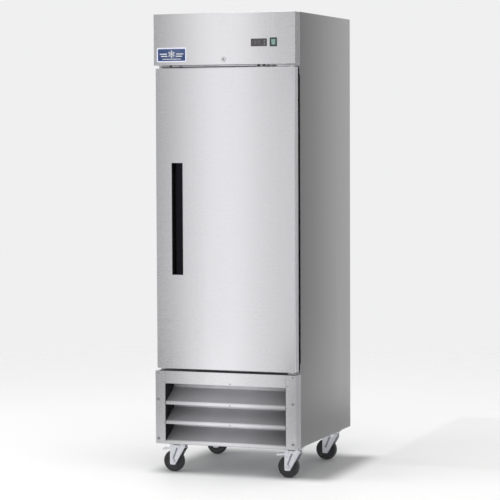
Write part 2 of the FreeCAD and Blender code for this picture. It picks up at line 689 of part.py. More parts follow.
# --- Door ----------------------------------------------------------------------------------
door_x, door_z = (DOOR_LEFT, DOOR_RIGHT), ("door_low", "door_top")
bush_z = (("door_low", "door_low + bush_long"), ("door_top - bush_long", "door_top"))
bush_holes = [rod("z", "bush_r", hinge_spot, span) for span in bush_z]
cam_pocket = block(
    ("0 - cam_wide", "cam_long - cam_wide"),
    (FACE + " + lock_deep - cam_thick", FACE + " + lock_deep + 3 * cam_thick"),
    ("door_top - cam_clear", "door_top + over"),
)
skin, skin_hollow = pan_shell(door_x, door_z, DOOR_PAN_BACK)
grip_x, grip_z = ("grip_left", "grip_right"), ("grip_low", "grip_top")
skin_window = block(grip_x, through, grip_z)
node("door_skin", cut(skin, [skin_hollow, skin_window, cam_pocket] + bush_holes))

frame_x = (DOOR_LEFT + " + door_inset", DOOR_RIGHT + " - door_inset")
frame_z = ("door_low + door_inset", "door_top - door_inset")
field_x = (frame_x[0] + " + door_frame_wide", frame_x[1] + " - door_frame_wide")
field_z = (frame_z[0] + " + door_frame_wide", frame_z[1] + " - door_frame_wide")
frame_y = (DOOR_PAN_BACK, DOOR_BACK)
field_back = DOOR_BACK + " - panel_dish"
frame_hollow = block(field_x, (frame_y[0] + " - over", frame_y[1] + " + over"), field_z)
door_frame = rounded(prism("y", rectangle(frame_x, frame_z), frame_y), "edge_round", along("y"))
node("door_frame", cut(door_frame, [frame_hollow]))
node("door_inner_panel", block(field_x, (field_back + " - sheet", field_back), field_z))

core = block(
    (DOOR_LEFT + " + sheet", DOOR_RIGHT + " - sheet"),
    (FACE + " + sheet", DOOR_PAN_BACK),
    ("door_low + sheet", "door_top - sheet"),
)
field = block(field_x, (DOOR_PAN_BACK, field_back + " - sheet"), field_z)
cup_x = ("grip_left - pocket_wall", "grip_right + pocket_wall")
cup_z = ("grip_low - pocket_wall", "grip_top + pocket_wall")
cup_y = (FACE + " + sheet", FACE + " + sheet + pocket_deep")
rim_x = ("grip_left - pocket_flange", "grip_right + pocket_flange")
rim_z = ("grip_low - pocket_flange", "grip_top + pocket_flange")
rim_y = (FACE + " + sheet", FACE + " + sheet + pocket_wall")
pocket_space = [block(cup_x, cup_y, cup_z), block(rim_x, rim_y, rim_z)]
node("door_foam", cut(fuse([core, field]), pocket_space + bush_holes + [cam_pocket]))
pocket = fuse([block(cup_x, cup_y, cup_z), block(rim_x, rim_y, rim_z)])
cup_inside = block(grip_x, (FACE, cup_y[1] + " - pocket_wall"), grip_z)
node("handle_pocket", cut(pocket, [cup_inside]))
grip_face = FACE + " + grip_back"
grip_rear = grip_face + " + grip_thick"
grip = prism(
    "z",
    [
        ("grip_right", grip_face),
        ("slot_right", grip_face),
        ("slot_right", grip_rear + " + grip_hook"),
        ("slot_right + grip_lip", grip_rear + " + grip_hook"),
        ("slot_right + grip_lip", grip_rear),
        ("grip_right", grip_rear),
    ],
    grip_z,
)


def finger_edge(edge):
    """Test for the upright edges of the grip beside the finger slot."""
    lip_end = DIMENSIONS["slot_right"] + DIMENSIONS["grip_lip"]
    return along("z")(edge) and edge.BoundBox.XMax < lip_end + 0.01


node("handle_grip", rounded(grip, "grip_round", finger_edge))

gasket_x = (DOOR_LEFT + " + gasket_inset", DOOR_RIGHT + " - hinge_gasket_inset")
gasket_z = ("door_low + gasket_inset", "door_top - gasket_inset")
gasket_y = (DOOR_BACK, FRONT + " - seal_gap")
gasket_hole = block(
    (gasket_x[0] + " + gasket_wide", gasket_x[1] + " - gasket_wide"),
    (gasket_y[0] + " - over", gasket_y[1] + " + over"),
    (gasket_z[0] + " + gasket_wide", gasket_z[1] + " - gasket_wide"),
)
node("door_gasket", cut(block(gasket_x, gasket_y, gasket_z), [gasket_hole]))
bushes = [
    cut(rod("z", "bush_r", hinge_spot, span), [rod("z", "pin_r + gap", hinge_spot, span)])
    for span in bush_z
]
node("hinge_bushes", *bushes)

# --- Casters -------------------------------------------------------------------------------
def caster_wheel(centre):
    """Moulded wheel: a rounded tread, dished sides and a hub bored for the axle."""
    half = [
        ("axle_r + gap", "wheel_hub_wide / 2"),
        ("wheel_hub_r", "wheel_hub_wide / 2"),
        ("wheel_hub_r", "wheel_wide / 2 - wheel_dish"),
        ("wheel_dish_r", "wheel_wide / 2 - wheel_dish"),
        ("wheel_dish_r + wheel_step", "wheel_wide / 2"),
        ("wheel_r - tread_step", "wheel_wide / 2"),
        ("wheel_r", "wheel_wide / 2 - tread_step"),
    ]
    mirrored = [(radius, minus(length)) for radius, length in reversed(half)]

    def tread_edge(edge):
        return edge.BoundBox.XLength > 2 * DIMENSIONS["wheel_r"] - 0.1

    return rounded(turned(half + mirrored, centre, "y"), "tread_round", tread_edge)


def low_corner(edge):
    """Test for the two bottom corners of a fork leg."""
    box = edge.BoundBox
    return along("y")(edge) and box.ZMax < DIMENSIONS["wheel_r"]


plate_z = ("base_z - caster_plate_thick", "base_z")
race_z = ("base_z - caster_plate_thick - race_high", "base_z - caster_plate_thick")
crown_z = ("crown_low", race_z[0] + " - seal_gap")
plates = []
for row, wheel_y in (("front", "front_wheel_y"), ("rear", "rear_wheel_y")):
    for side, wheel_x in (("left", "left_wheel_x"), ("right", "right_wheel_x")):
        swivel_x = wheel_x + " + trail"
        plate_x = around(swivel_x, "caster_plate")
        plate_y = around(wheel_y, "caster_plate_long")
        swivel = (swivel_x, wheel_y)
        plates.append(fuse([
            block(plate_x, plate_y, plate_z),
            rod("z", "race_r", swivel, race_z),
            rod("z", "kingpin_r", swivel, ("crown_low", race_z[1])),
        ]))
        for i in (-1, 1):
            for j in (-1, 1):
                spot = (swivel_x + " + %d * (caster_plate / 2 - bolt_inset)" % i,
                        wheel_y + " + %d * (caster_plate_long / 2 - bolt_inset)" % j)
                plates.append(rod("z", "bolt_r", spot, (plate_z[0] + " - bolt_high", plate_z[0])))

        fork_x = (wheel_x + " - fork_left", wheel_x + " + fork_right")
        leg = [
            (fork_x[0], crown_z[1]),
            (fork_x[0], "wheel_r - fork_drop"),
            (wheel_x + " + fork_foot", "wheel_r - fork_drop"),
            (fork_x[1], crown_z[0]),
            (fork_x[1], crown_z[1]),
        ]
        legs_y = around(wheel_y, "2 * leg_gap + 2 * leg_thick")
        legs = [
            rounded(prism("y", leg, span), "leg_round", low_corner)
            for span in (
                (wheel_y + " + leg_gap", wheel_y + " + leg_gap + leg_thick"),
                (wheel_y + " - leg_gap - leg_thick", wheel_y + " - leg_gap"),
            )
        ]
        bridge = block(fork_x, legs_y, ("crown_low", "crown_low + leg_thick"))
        crown = rod("z", "race_r", swivel, crown_z)
        parts = legs + [bridge, crown]
        brake_at = (wheel_x + " + brake_x", "brake_z")
        if row == "front":
            pin_y = around(wheel_y, "2 * leg_gap + leg_thick")
            parts.append(rod("y", "brake_pin_r", brake_at, pin_y))
        axle_at = (wheel_x, "wheel_r")
        across = around(wheel_y, "2 * leg_gap + 4 * leg_thick")
        fork = cut(fuse(parts), [
            rod("z", "kingpin_r + gap", swivel, ("crown_low - over", "base_z")),
            rod("y", "axle_r", axle_at, across),
        ])
        head_low = (legs_y[0] + " - axle_head", legs_y[0])
        head_high = (legs_y[1], legs_y[1] + " + axle_head")
        axle = fuse([
            rod("y", "axle_r", axle_at, (head_low[0], head_high[1])),
            rod("y", "axle_head_r", axle_at, head_low),
            rod("y", "axle_head_r", axle_at, head_high),
        ])
        where = "%s_%s" % (row, side)
        node("caster_fork_" + where, fork, axle)

        node("caster_wheel_" + where, caster_wheel((wheel_x, wheel_y, "wheel_r")))

        if row == "front":
            lever_y = (wheel_y + " - brake_half", wheel_y + " + brake_half")
            pedal = [("%s - %g" % (wheel_x, left), "brake_z + %g" % rise) for left, rise in PEDAL]
            lever = prism("y", pedal, lever_y)
            pin_hole = rod("y", "brake_pin_r + gap", brake_at, lever_y)
            node("brake_lever_" + side, cut(lever, [pin_hole]))
node("caster_plates", *plates)

# --- Check and write -----------------------------------------------------------------------
doc.recompute()
for item in doc.Objects:
    if "Invalid" in item.State or "Error" in item.State:
        raise RuntimeError("%s (%s): %s" % (item.Label, item.Name, item.State))
os.makedirs("parts", exist_ok=True)
for item in NODES:
    if item.Shape.isNull() or not item.Shape.isValid():
        raise RuntimeError("%s has no valid shape" % item.Label)
    item.Shape.exportStep("parts/%s.step" % item.Label)
print("%d nodes written" % len(NODES))
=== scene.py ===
import json
import math

import bmesh
import bpy
from mathutils import Matrix, Vector


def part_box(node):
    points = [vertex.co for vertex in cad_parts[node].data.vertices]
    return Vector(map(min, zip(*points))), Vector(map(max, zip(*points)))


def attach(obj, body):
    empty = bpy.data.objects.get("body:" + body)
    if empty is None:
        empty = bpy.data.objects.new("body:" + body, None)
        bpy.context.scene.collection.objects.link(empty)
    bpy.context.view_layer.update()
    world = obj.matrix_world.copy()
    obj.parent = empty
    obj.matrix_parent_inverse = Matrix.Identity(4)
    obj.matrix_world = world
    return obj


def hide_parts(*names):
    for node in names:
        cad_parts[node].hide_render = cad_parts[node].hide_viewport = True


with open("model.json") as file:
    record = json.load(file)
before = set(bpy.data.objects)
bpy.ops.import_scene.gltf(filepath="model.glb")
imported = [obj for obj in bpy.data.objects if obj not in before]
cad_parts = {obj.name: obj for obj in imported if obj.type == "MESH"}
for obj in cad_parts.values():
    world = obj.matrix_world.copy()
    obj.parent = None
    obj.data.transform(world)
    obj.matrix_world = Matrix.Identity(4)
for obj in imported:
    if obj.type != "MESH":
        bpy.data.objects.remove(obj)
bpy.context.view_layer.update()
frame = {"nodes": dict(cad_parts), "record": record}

# One-door reach-in refrigerator, in metres in the CAD model's frame: X right, Y back, Z up.
NODES = frame["nodes"]


# --- Places in the frame -------------------------------------------------------------------
def middle(node):
    low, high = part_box(node)
    return [(a + b) / 2 for a, b in zip(low, high)]


def half_size(node):
    low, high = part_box(node)
    return [(b - a) / 2 for a, b in zip(low, high)]


def front_of(node):
    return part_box(node)[0][1]


# --- Material building ---------------------------------------------------------------------
class Paint:
    """One node material round a Principled shader, with short calls for its inputs."""

    def __init__(self, name, **constants):
        self.material = bpy.data.materials.new(name)
        self.material.use_nodes = True
        self.tree = self.material.node_tree
        self.shader = self.tree.nodes["Principled BSDF"]
        for socket, value in constants.items():
            self.shader.inputs[socket.replace("_", " ")].default_value = value
        self.place = self.add("TexCoord").outputs["Object"]

    def add(self, kind, inputs=None, **fields):
        node = self.tree.nodes.new("ShaderNode" + kind)
        for field, value in fields.items():
            setattr(node, field, value)
        for socket, value in (inputs or {}).items():
            if isinstance(value, bpy.types.NodeSocket):
                self.tree.links.new(value, node.inputs[socket])
            else:
                node.inputs[socket].default_value = value
        return node

    def link(self, output, socket):
        self.tree.links.new(output, self.shader.inputs[socket])

    def noise(self, cells, detail=3.0, rough=0.5):
        """Noise from 0 to 1, with so many cells per metre on every axis, or on each of three."""
        scale = cells if isinstance(cells, tuple) else (cells,) * 3
        vector = self.add("Mapping", {"Vector": self.place, "Scale": scale}).outputs["Vector"]
        settings = {"Vector": vector, "Scale": 1.0, "Detail": detail, "Roughness": rough}
        return self.add("TexNoise", settings).outputs[0]

    def bumps(self, size, randomness=1.0):
        """Rounded cells of about the given size in metres."""
        settings = {"Vector": self.place, "Scale": 1 / size, "Randomness": randomness}
        return self.add("TexVoronoi", settings).outputs["Distance"]

    def ramp(self, value, low, high, start=0.3, end=0.7):
        """A pattern's start to end becomes low to high."""
        settings = {"Value": value, 1: start, 2: end, 3: low, 4: high}
        return self.add("MapRange", settings).outputs[0]

    def colour(self, factor, first, second):
        """Mixes two colours, each of them plain or the output of a node."""
        ends = [value if isinstance(value, bpy.types.NodeSocket) else (*value, 1.0)
                for value in (first, second)]
        return self.add("Mix", {0: factor, 6: ends[0], 7: ends[1]}, data_type="RGBA").outputs[2]

    def maths(self, operation, first, second):
        return self.add("Math", {0: first, 1: second}, operation=operation).outputs[0]

    def bump(self, height, depth, strength=1.0):
        settings = {"Height": height, "Strength": strength, "Distance": depth}
        self.link(self.add("Bump", settings).outputs["Normal"], "Normal")

    def edge_wear_and_highlight(self, colour, light, radius=0.0012, amount=0.5):
        """Mixes towards a lighter colour where the surface turns sharply outwards: partly wear,
        partly a painted highlight on the edges.
        """
        soft = self.add("Bevel", {"Radius": radius}, samples=4).outputs[0]
        flat = self.add("NewGeometry").outputs["Normal"]
        turn = self.add("VectorMath", {0: soft, 1: flat}, operation="DOT_PRODUCT")
        edge = self.ramp(turn.outputs["Value"], amount, 0.0, 0.86, 0.995)
        return self.colour(edge, colour, light)


def tint(colour, factor):
    return tuple(channel * factor for channel in colour)


# Turn of the stretched highlight, in full turns, for hairlines that run along each axis
GRAIN_TURN = {"z": 0.0, "x": 0.25}


def brushed(name, colour, roughness, grain, streak=0.012, stretch=0.7, painted_right_light=1.0, spread=0.0,
            metallic=1.0, painted_shading=None):
    """Brushed steel: hairlines along one axis, broader streaks with them, faint upright bands.

    Faces turned to the right get a painted highlight, a brighter copy of the colour, and can be
    duller.
    """
    paint = Paint(name, Metallic=metallic, Anisotropic=stretch,
                  Anisotropic_Rotation=GRAIN_TURN[grain])
    facing_out = paint.add("NewGeometry").outputs["Normal"]
    nearly_up = (0.001, 0.0, 1.0)
    level = paint.add("VectorMath", {0: facing_out, 1: nearly_up}, operation="CROSS_PRODUCT")
    paint.link(level.outputs["Vector"], "Tangent")
    # Cells per metre on X, Y and Z where the grain is upright
    fine, broad = (2600.0, 2600.0, 16.0), (260.0, 260.0, 2.0)
    if grain == "x":
        fine, broad = fine[::-1], broad[::-1]
    hairline = paint.noise(fine, 2.0)
    streaks = paint.noise(broad, 4.0, 0.6)
    bands = paint.noise((16.0, 16.0, 0.4), 3.0, 0.5)
    lines = paint.colour(paint.ramp(hairline, 0.0, 1.0), tint(colour, 1 - 2 * streak),
                         tint(colour, 1 + 2 * streak))
    drawn = paint.colour(paint.ramp(streaks, 0.0, 1.0), tint(colour, 1 - streak),
                         tint(colour, 1 + streak))
    face = paint.colour(paint.ramp(bands, 0.25, 0.75), lines, drawn)
    normal = paint.add("TexCoord").outputs["Normal"]
    sideways = paint.add("SeparateXYZ", {0: normal}).outputs["X"]
    turned = paint.ramp(sideways, 0.0, 1.0, 0.5, 0.95)
    # Painted highlight: faces turned to the right take a brighter copy of the colour
    body = paint.colour(turned, face, tint(colour, painted_right_light))
    # A shading function, where given, paints light and shade over the colour
    paint.link(painted_shading(paint, body) if painted_shading else body, "Base Color")
    dull = paint.maths("ADD", paint.ramp(hairline, roughness - 0.02, roughness + 0.02),
                       paint.ramp(bands, -0.012, 0.012))
    paint.link(paint.maths("ADD", dull, paint.ramp(turned, 0.0, spread, 0.0, 1.0)), "Roughness")
    paint.bump(hairline, 0.00001, 0.2)
    return paint.material


def painted_louvre_light_and_shade(paint, body):
    """Painted shade on the louvres towards both ends and just behind their front lips, and painted
    light on the lips and deep inside.
    """
    ends_from, ends_to, ends_painted_shade = 0.08, 0.29, 0.5
    lip_painted_light, behind_lip_painted_shade, deep_painted_light = 1.3, 0.66, 1.4
    front = front_of("louvre_blades")
    lip_start, lip_end, back_end = front + 0.005, front + 0.010, front + 0.090
    axes = paint.add("SeparateXYZ", {0: paint.place}).outputs
    ends = paint.ramp(paint.maths("ABSOLUTE", axes["X"], 0.0), 1.0, ends_painted_shade, ends_from, ends_to)
    lip = paint.ramp(axes["Y"], lip_painted_light, 0.0, lip_start, lip_end)
    depth = paint.ramp(axes["Y"], behind_lip_painted_shade, deep_painted_light, lip_end, back_end)
    painted_shading = paint.maths("MULTIPLY", ends, paint.maths("MAXIMUM", lip, depth))
    return paint.add("VectorMath", {0: body, "Scale": painted_shading}, operation="SCALE").outputs["Vector"]


def galvanised(name, colour):
    """Hot-dip zinc: angular spangle of a few millimetres with its own sheen in each grain."""
    paint = Paint(name, Metallic=0.85)
    settings = {"Vector": paint.place, "Scale": 190.0, "Randomness": 1.0}
    grain = paint.add("TexVoronoi", settings).outputs["Color"]
    value = paint.add("SeparateColor", {"Color": grain}).outputs[0]
    cloud = paint.noise(4.0, 4.0, 0.6)
    spangle = paint.colour(value, tint(colour, 0.86), tint(colour, 1.1))
    hazy = paint.colour(paint.ramp(cloud, 0.0, 0.45), spangle, colour)
    paint.link(hazy, "Base Color")
    paint.link(paint.ramp(value, 0.36, 0.52, 0.0, 1.0), "Roughness")
    paint.bump(value, 0.00003, 0.3)
    return paint.material


def plated(name, colour, roughness, scuff_and_highlight=0.5):
    """Bright zinc or chrome plate with cloudy handling marks, and lighter edges that are partly
    wear and partly a painted highlight.
    """
    paint = Paint(name, Metallic=1.0)
    cloud = paint.noise(42.0, 5.0, 0.62)
    grain = paint.noise(900.0, 2.0)
    body = paint.colour(paint.ramp(cloud, 0.0, 1.0), tint(colour, 0.88), tint(colour, 1.06))
    paint.link(paint.edge_wear_and_highlight(body, tint(colour, 1.25), amount=scuff_and_highlight), "Base Color")
    paint.link(paint.ramp(cloud, roughness - 0.06, roughness + 0.1), "Roughness")
    paint.bump(grain, 0.00002, 0.3)
    return paint.material


def moulded(name, colour, roughness, texture=0.0009, depth=0.00003, edge=1.625, shine=0.5):
    """Moulded plastic or cast paint: spark-eroded grain, faint mottling, and edges made paler by a
    painted highlight.
    """
    paint = Paint(name, Specular_IOR_Level=shine, IOR=1.48)
    cloud = paint.noise(30.0, 4.0, 0.6)
    body = paint.colour(paint.ramp(cloud, 0.0, 1.0), tint(colour, 0.9), tint(colour, 1.1))
    # Painted highlight along the edges, scaled by edge
    paint.link(paint.edge_wear_and_highlight(body, tint(colour, edge)), "Base Color")
    paint.link(paint.ramp(cloud, roughness - 0.05, roughness + 0.07), "Roughness")
    paint.bump(paint.bumps(texture), depth, 0.5)
    return paint.material


def rubber(name, colour, roughness=0.62):
    """Rubber: bloom in soft patches, fine pitting and dust in the grain."""
    paint = Paint(name, Sheen_Weight=0.15, Sheen_Roughness=0.4)
    bloom = paint.noise(55.0, 5.0, 0.65)
    pits = paint.noise(700.0, 3.0)
    dusty = tint(colour, 2.0)
    paint.link(paint.colour(paint.ramp(bloom, 0.0, 0.35, 0.42, 0.75), colour, dusty), "Base Color")
    paint.link(paint.ramp(bloom, roughness - 0.08, roughness + 0.1), "Roughness")
    paint.bump(pits, 0.00006, 0.5)
    return paint.material


def foam(name, colour):
    """Rigid polyurethane foam with its cell structure."""
    paint = Paint(name, Roughness=0.9)
    cells = paint.bumps(0.0014)
    cloud = paint.noise(20.0, 4.0)
    body = paint.colour(paint.ramp(cloud, 0.0, 1.0), tint(colour, 0.9), tint(colour, 1.05))
    paint.link(paint.colour(paint.ramp(cells, 0.0, 0.5, 0.2, 0.7), body, tint(colour, 0.7)),
               "Base Color")
    paint.bump(cells, 0.0004, 0.7)
    return paint.material


def finned(name, colour, pitch=0.0024):
    """Aluminium fins edge-on: thin edges in the metal's colour, with painted shade in the gaps
    between them.
    """
    paint = Paint(name, Metallic=0.8)
    settings = {"Vector": paint.place, "Scale": 1 / pitch / 2, "Distortion": 0.0}
    wave = paint.add("TexWave", settings, bands_direction="X").outputs["Fac"]
    cloud = paint.noise(18.0, 3.0)
    metal = paint.colour(paint.ramp(cloud, 0.0, 1.0), tint(colour, 0.85), tint(colour, 1.05))
    # Painted shade in the gaps between the fins
    gap = paint.ramp(wave, 0.85, 0.0, 0.15, 0.6)
    paint.link(paint.colour(gap, metal, tint(colour, 0.12)), "Base Color")
    paint.link(paint.ramp(cloud, 0.38, 0.55), "Roughness")
    paint.bump(wave, 0.001, 0.8)
    return paint.material


def glossy(name, colour, roughness=0.14, coat=0.6):
    """Clear-lacquered or glazed plastic with faint smudges in its gloss."""
    paint = Paint(name, Coat_Weight=coat, Coat_Roughness=0.06)
    smudge = paint.noise(70.0, 4.0, 0.6)
    body = paint.colour(paint.ramp(smudge, 0.0, 1.0), tint(colour, 0.94), tint(colour, 1.06))
    paint.link(body, "Base Color")
    paint.link(paint.ramp(smudge, roughness, roughness + 0.14), "Roughness")
    paint.bump(paint.noise(400.0, 2.0), 0.00002, 0.25)
    return paint.material


MATERIALS = {
    # The factor for the right-facing faces is a painted highlight on them
    "stainless": brushed("stainless", (0.66, 0.655, 0.675), 0.26, "x", 0.005, painted_right_light=1.45),
    "door_steel": brushed("door_steel", (0.65, 0.645, 0.667), 0.26, "x", 0.005, painted_right_light=1.35,
                          spread=0.3),
    "grille_steel": brushed("grille_steel", (0.62, 0.615, 0.635), 0.27, "x", 0.012, painted_right_light=1.3,
                            spread=0.15),
    "side_steel": brushed("side_steel", (0.43, 0.43, 0.435), 0.30, "x", 0.012),
    # The louvres' colour carries painted light and shade
    "louvre_steel": brushed("louvre_steel", (0.60, 0.595, 0.62), 0.5, "x", 0.06, 0.2,
                            metallic=0.25, painted_shading=painted_louvre_light_and_shade),
    "galvanised": galvanised("galvanised", (0.52, 0.54, 0.56)),
    "liner_aluminium": brushed("liner_aluminium", (0.70, 0.71, 0.72), 0.42, "z", 0.05),
    "coil": finned("coil", (0.62, 0.63, 0.64)),
    "foam": foam("foam", (0.80, 0.72, 0.50)),
    "shelf_coating": glossy("shelf_coating", (0.74, 0.75, 0.73), 0.26),
    "black_plastic": moulded("black_plastic", (0.008, 0.008, 0.009), 0.6),
    "handle_plastic": moulded("handle_plastic", (0.005, 0.005, 0.008), 0.7, shine=0.1),
    "rim_plastic": moulded("rim_plastic", (0.030, 0.030, 0.034), 0.5),
    "bezel_plastic": moulded("bezel_plastic", (0.055, 0.052, 0.056), 0.42),
    "switch_plastic": moulded("switch_plastic", (0.030, 0.048, 0.042), 0.42),
    "gasket_rubber": rubber("gasket_rubber", (0.018, 0.018, 0.02)),
    "sill_rubber": rubber("sill_rubber", (0.045, 0.045, 0.048)),
    "lens": glossy("lens", (0.86, 0.87, 0.84), 0.3),
    "display_glass": glossy("display_glass", (0.05, 0.045, 0.052), 0.1),
    "rocker_green": glossy("rocker_green", (0.20, 0.34, 0.30), 0.2),
    "digit_grey": glossy("digit_grey", (0.16, 0.15, 0.16), 0.2),
    "mark_white": glossy("mark_white", (0.72, 0.73, 0.76), 0.3, 0.2),
    "key_grey": moulded("key_grey", (0.10, 0.10, 0.105), 0.45),
    "badge_blue": glossy("badge_blue", (0.030, 0.060, 0.17), 0.18),
    "badge_rim": glossy("badge_rim", (0.80, 0.82, 0.95), 0.3, 0.2),
    "chrome": plated("chrome", (0.50, 0.50, 0.51), 0.26, 0.2),
    "lock_face": plated("lock_face", (0.86, 0.86, 0.88), 0.38, 0.2),
    "zinc": plated("zinc", (0.70, 0.71, 0.75), 0.28),
    # A darker copy of the zinc: painted shade on the fork's ribs and flanges
    "rib_shaded_zinc": plated("rib_shaded_zinc", (0.30, 0.32, 0.37), 0.3, 0.3),
    "screw_steel": plated("screw_steel", (0.36, 0.36, 0.37), 0.42, 0.3),
    "tread": rubber("tread", (0.020, 0.020, 0.023), 0.55),
    "wheel_core": moulded("wheel_core", (0.030, 0.031, 0.035), 0.45),
    "black_steel": moulded("black_steel", (0.016, 0.016, 0.018), 0.34),
    "mount_rubber": rubber("mount_rubber", (0.022, 0.022, 0.022)),
    "copper": plated("copper", (0.62, 0.27, 0.14), 0.3, 0.4),
    "tray_plastic": moulded("tray_plastic", (0.06, 0.06, 0.065), 0.45),
    "fan_plastic": moulded("fan_plastic", (0.035, 0.035, 0.04), 0.42),
    "nylon": moulded("nylon", (0.74, 0.73, 0.68), 0.4),
}


# Nodes whose finish differs a little from the rest of their slot, the steel ones also in painted
# light and shade
SPECIAL = {
    "louvre_blades": "louvre_steel",
    "grille_frame": "grille_steel",
    "door_skin": "door_steel",
    "lock_barrel": "lock_face",
    "handle_grip": "handle_plastic",
    "controller_body": "bezel_plastic",
    "switch_body": "switch_plastic",
}

for part in frame["record"]["subparts"]:
    materials = NODES[part["node"]].data.materials
    materials.clear()
    materials.append(MATERIALS[SPECIAL.get(part["node"], part["material_slot"])])


# --- Shape building ------------------------------------------------------------------------
FORWARD, REARWARD = (0, -1, 0), (0, 1, 0)
UPWARD, DOWNWARD = (0, 0, 1), (0, 0, -1)


def facing(centre, outward):
    """Matrix from a drawing plane to the frame: drawn Z points outward and Y up, or else back."""
    out = Vector(outward).normalized()
    up = Vector(UPWARD if abs(out.z) < 0.5 else REARWARD)
    right = up.cross(out).normalized()
    turn = Matrix((right, out.cross(right), out)).transposed().to_4x4()
    return Matrix.Translation(centre) @ turn


def skin(shape, rings, place, wrap=False):
    """Joins rings of equally many points; closes the ends, or joins last to first with wrap."""
    rows = [[shape.verts.new(place @ Vector(point)) for point in ring] for ring in rings]
    pairs = list(zip(rows, rows[1:]))
    if wrap:
        pairs.append((rows[-1], rows[0]))
    else:
        shape.faces.new(rows[0][::-1])
        shape.faces.new(rows[-1])
    for low, high in pairs:
        for i in range(len(low)):
            j = (i + 1) % len(low)
            shape.faces.new((low[i], low[j], high[j], high[i]))


def circle(radius, height, count):
    turns = [2 * math.pi * i / count for i in range(count)]
    return [(radius * math.cos(a), radius * math.sin(a), height) for a in turns]


def lathe(shape, profile, place, count, wrap=False):
    """Turns (radius, height) corners about the drawing plane's outward axis."""
    skin(shape, [circle(radius, height, count) for radius, height in profile], place, wrap)


def slab(half_x, half_y, corner, height, steps=5):
    """Ring of a rectangle with rounded corners."""
    ring = []
    for quarter, (sx, sy) in enumerate(((1, 1), (-1, 1), (-1, -1), (1, -1))):
        for i in range(steps + 1):
            a = math.pi / 2 * (quarter + i / steps)
            x = sx * (half_x - corner) + corner * math.cos(a)
            y = sy * (half_y - corner) + corner * math.sin(a)
            ring.append((x, y, height))
    return ring


def plate(shape, half_x, half_y, corner, low, high, place, soft=0.0004):
    """Rounded plate with a soft top edge."""
    inner = max(corner - soft, 0.0002)
    skin(shape, [
        slab(half_x, half_y, corner, low),
        slab(half_x, half_y, corner, high - soft),
        slab(half_x - soft * 0.3, half_y - soft * 0.3, corner, high - soft * 0.3),
        slab(half_x - soft, half_y - soft, inner, high),
    ], place)


def bar(shape, start, end, width, low, high, place):
    """Straight raised bar with rounded ends, drawn from start to end."""
    start, end = Vector(start), Vector(end)
    run = end - start
    turn = Matrix.Translation((*((start + end) / 2), 0.0)) @ Matrix.Rotation(
        math.atan2(run.y, run.x), 4, "Z")
    half = width / 2
    plate(shape, run.length / 2 + half, half, half * 0.98, low, high, place @ turn, half * 0.3)


def piece(name, shape, slot, body="cabinet", material=None, instead_of=(), sharp=35.0):
    """Makes a finished object of a shape; it rides on a body of the frame."""
    bmesh.ops.recalc_face_normals(shape, faces=shape.faces)
    mesh = bpy.data.meshes.new(name)
    shape.to_mesh(mesh)
    shape.free()
    for face in mesh.polygons:
        face.use_smooth = True
    mesh.set_sharp_from_angle(angle=math.radians(sharp))
    mesh.materials.append(MATERIALS[material or slot])
    item = bpy.data.objects.new(name, mesh)
    bpy.context.scene.collection.objects.link(item)
    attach(item, body)
    if instead_of:
        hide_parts(*instead_of)
    return item


def on_front(node):
    """Drawing plane on the middle of a node's front face."""
    x, _, z = middle(node)
    return facing((x, front_of(node), z), FORWARD)


# --- Header details ------------------------------------------------------------------------
def badge():
    """Moulded badge: pale rim, dark field, and a plain snowflake between bars."""
    half_x, half_thick, half_z = half_size("badge")
    thick = 2 * half_thick
    x, y, z = middle("badge")
    place = facing((x, y + half_thick, z), FORWARD)
    corner, field_corner, soft = 0.007, 0.003, 0.0005
    inset, bevel, step, gap = 0.0050, 0.0007, 0.0006, 0.0002
    rim = bmesh.new()
    skin(rim, [
        slab(half_x, half_z, corner, 0.0),
        slab(half_x, half_z, corner, thick - bevel),
        slab(half_x - bevel, half_z - bevel, corner - soft, thick),
        slab(half_x - inset + step, half_z - inset + step, field_corner + soft, thick),
        slab(half_x - inset, half_z - inset, field_corner, thick - step),
    ], place)
    piece("badge_rim", rim, "badge_blue", material="badge_rim", instead_of=("badge",))
    field = bmesh.new()
    plate(field, half_x - inset - gap, half_z - inset - gap, field_corner, thick - 2 * soft,
          thick - gap, place, gap)
    piece("badge_field", field, "badge_blue")
    emblem = bmesh.new()
    mark = (thick - 0.0004, thick + 0.0004)
    arm_wide, twig_wide, bar_wide, line_wide = 0.0024, 0.0019, 0.0042, 0.0026
    for i in range(6):
        arm = place @ Matrix.Translation((0.0, 0.003, 0.0)) @ Matrix.Rotation(
            math.pi / 6 + math.pi / 3 * i, 4, "Z")
        bar(emblem, (0.0012, 0.0), (0.0165, 0.0), arm_wide, *mark, arm)
        for side in (-1, 1):
            bar(emblem, (0.0085, side * 0.0006), (0.0125, side * 0.0046), twig_wide, *mark, arm)
    for side in (-1, 1):
        for inner, outer, up in ((0.024, 0.056, 0.004), (0.022, 0.050, -0.006)):
            bar(emblem, (side * inner, up), (side * outer, up), bar_wide, *mark, place)
    bar(emblem, (-0.044, -0.0190), (0.044, -0.0190), line_wide, *mark, place)
    piece("badge_emblem", emblem, "badge_blue", material="mark_white")


# Which of the seven strokes each digit lights, from the top clockwise, then the middle
STROKES = {
    0: (0, 1, 2, 3, 4, 5),
    3: (0, 1, 2, 3, 6),
}


def digit(shape, value, place, width, height, pen):
    """One seven-stroke digit of a display."""
    corners = {
        "tl": (-width / 2, height / 2), "tr": (width / 2, height / 2),
        "ml": (-width / 2, 0.0), "mr": (width / 2, 0.0),
        "bl": (-width / 2, -height / 2), "br": (width / 2, -height / 2),
    }
    lines = ("tl tr", "tr mr", "mr br", "br bl", "bl ml", "ml tl", "ml mr")
    for index in STROKES[value]:
        start, end = (Vector(corners[name]) for name in lines[index].split())
        trim = (end - start).normalized() * pen * 0.75
        bar(shape, start + trim, end - trim, pen, low=0.0, high=0.00015, place=place)


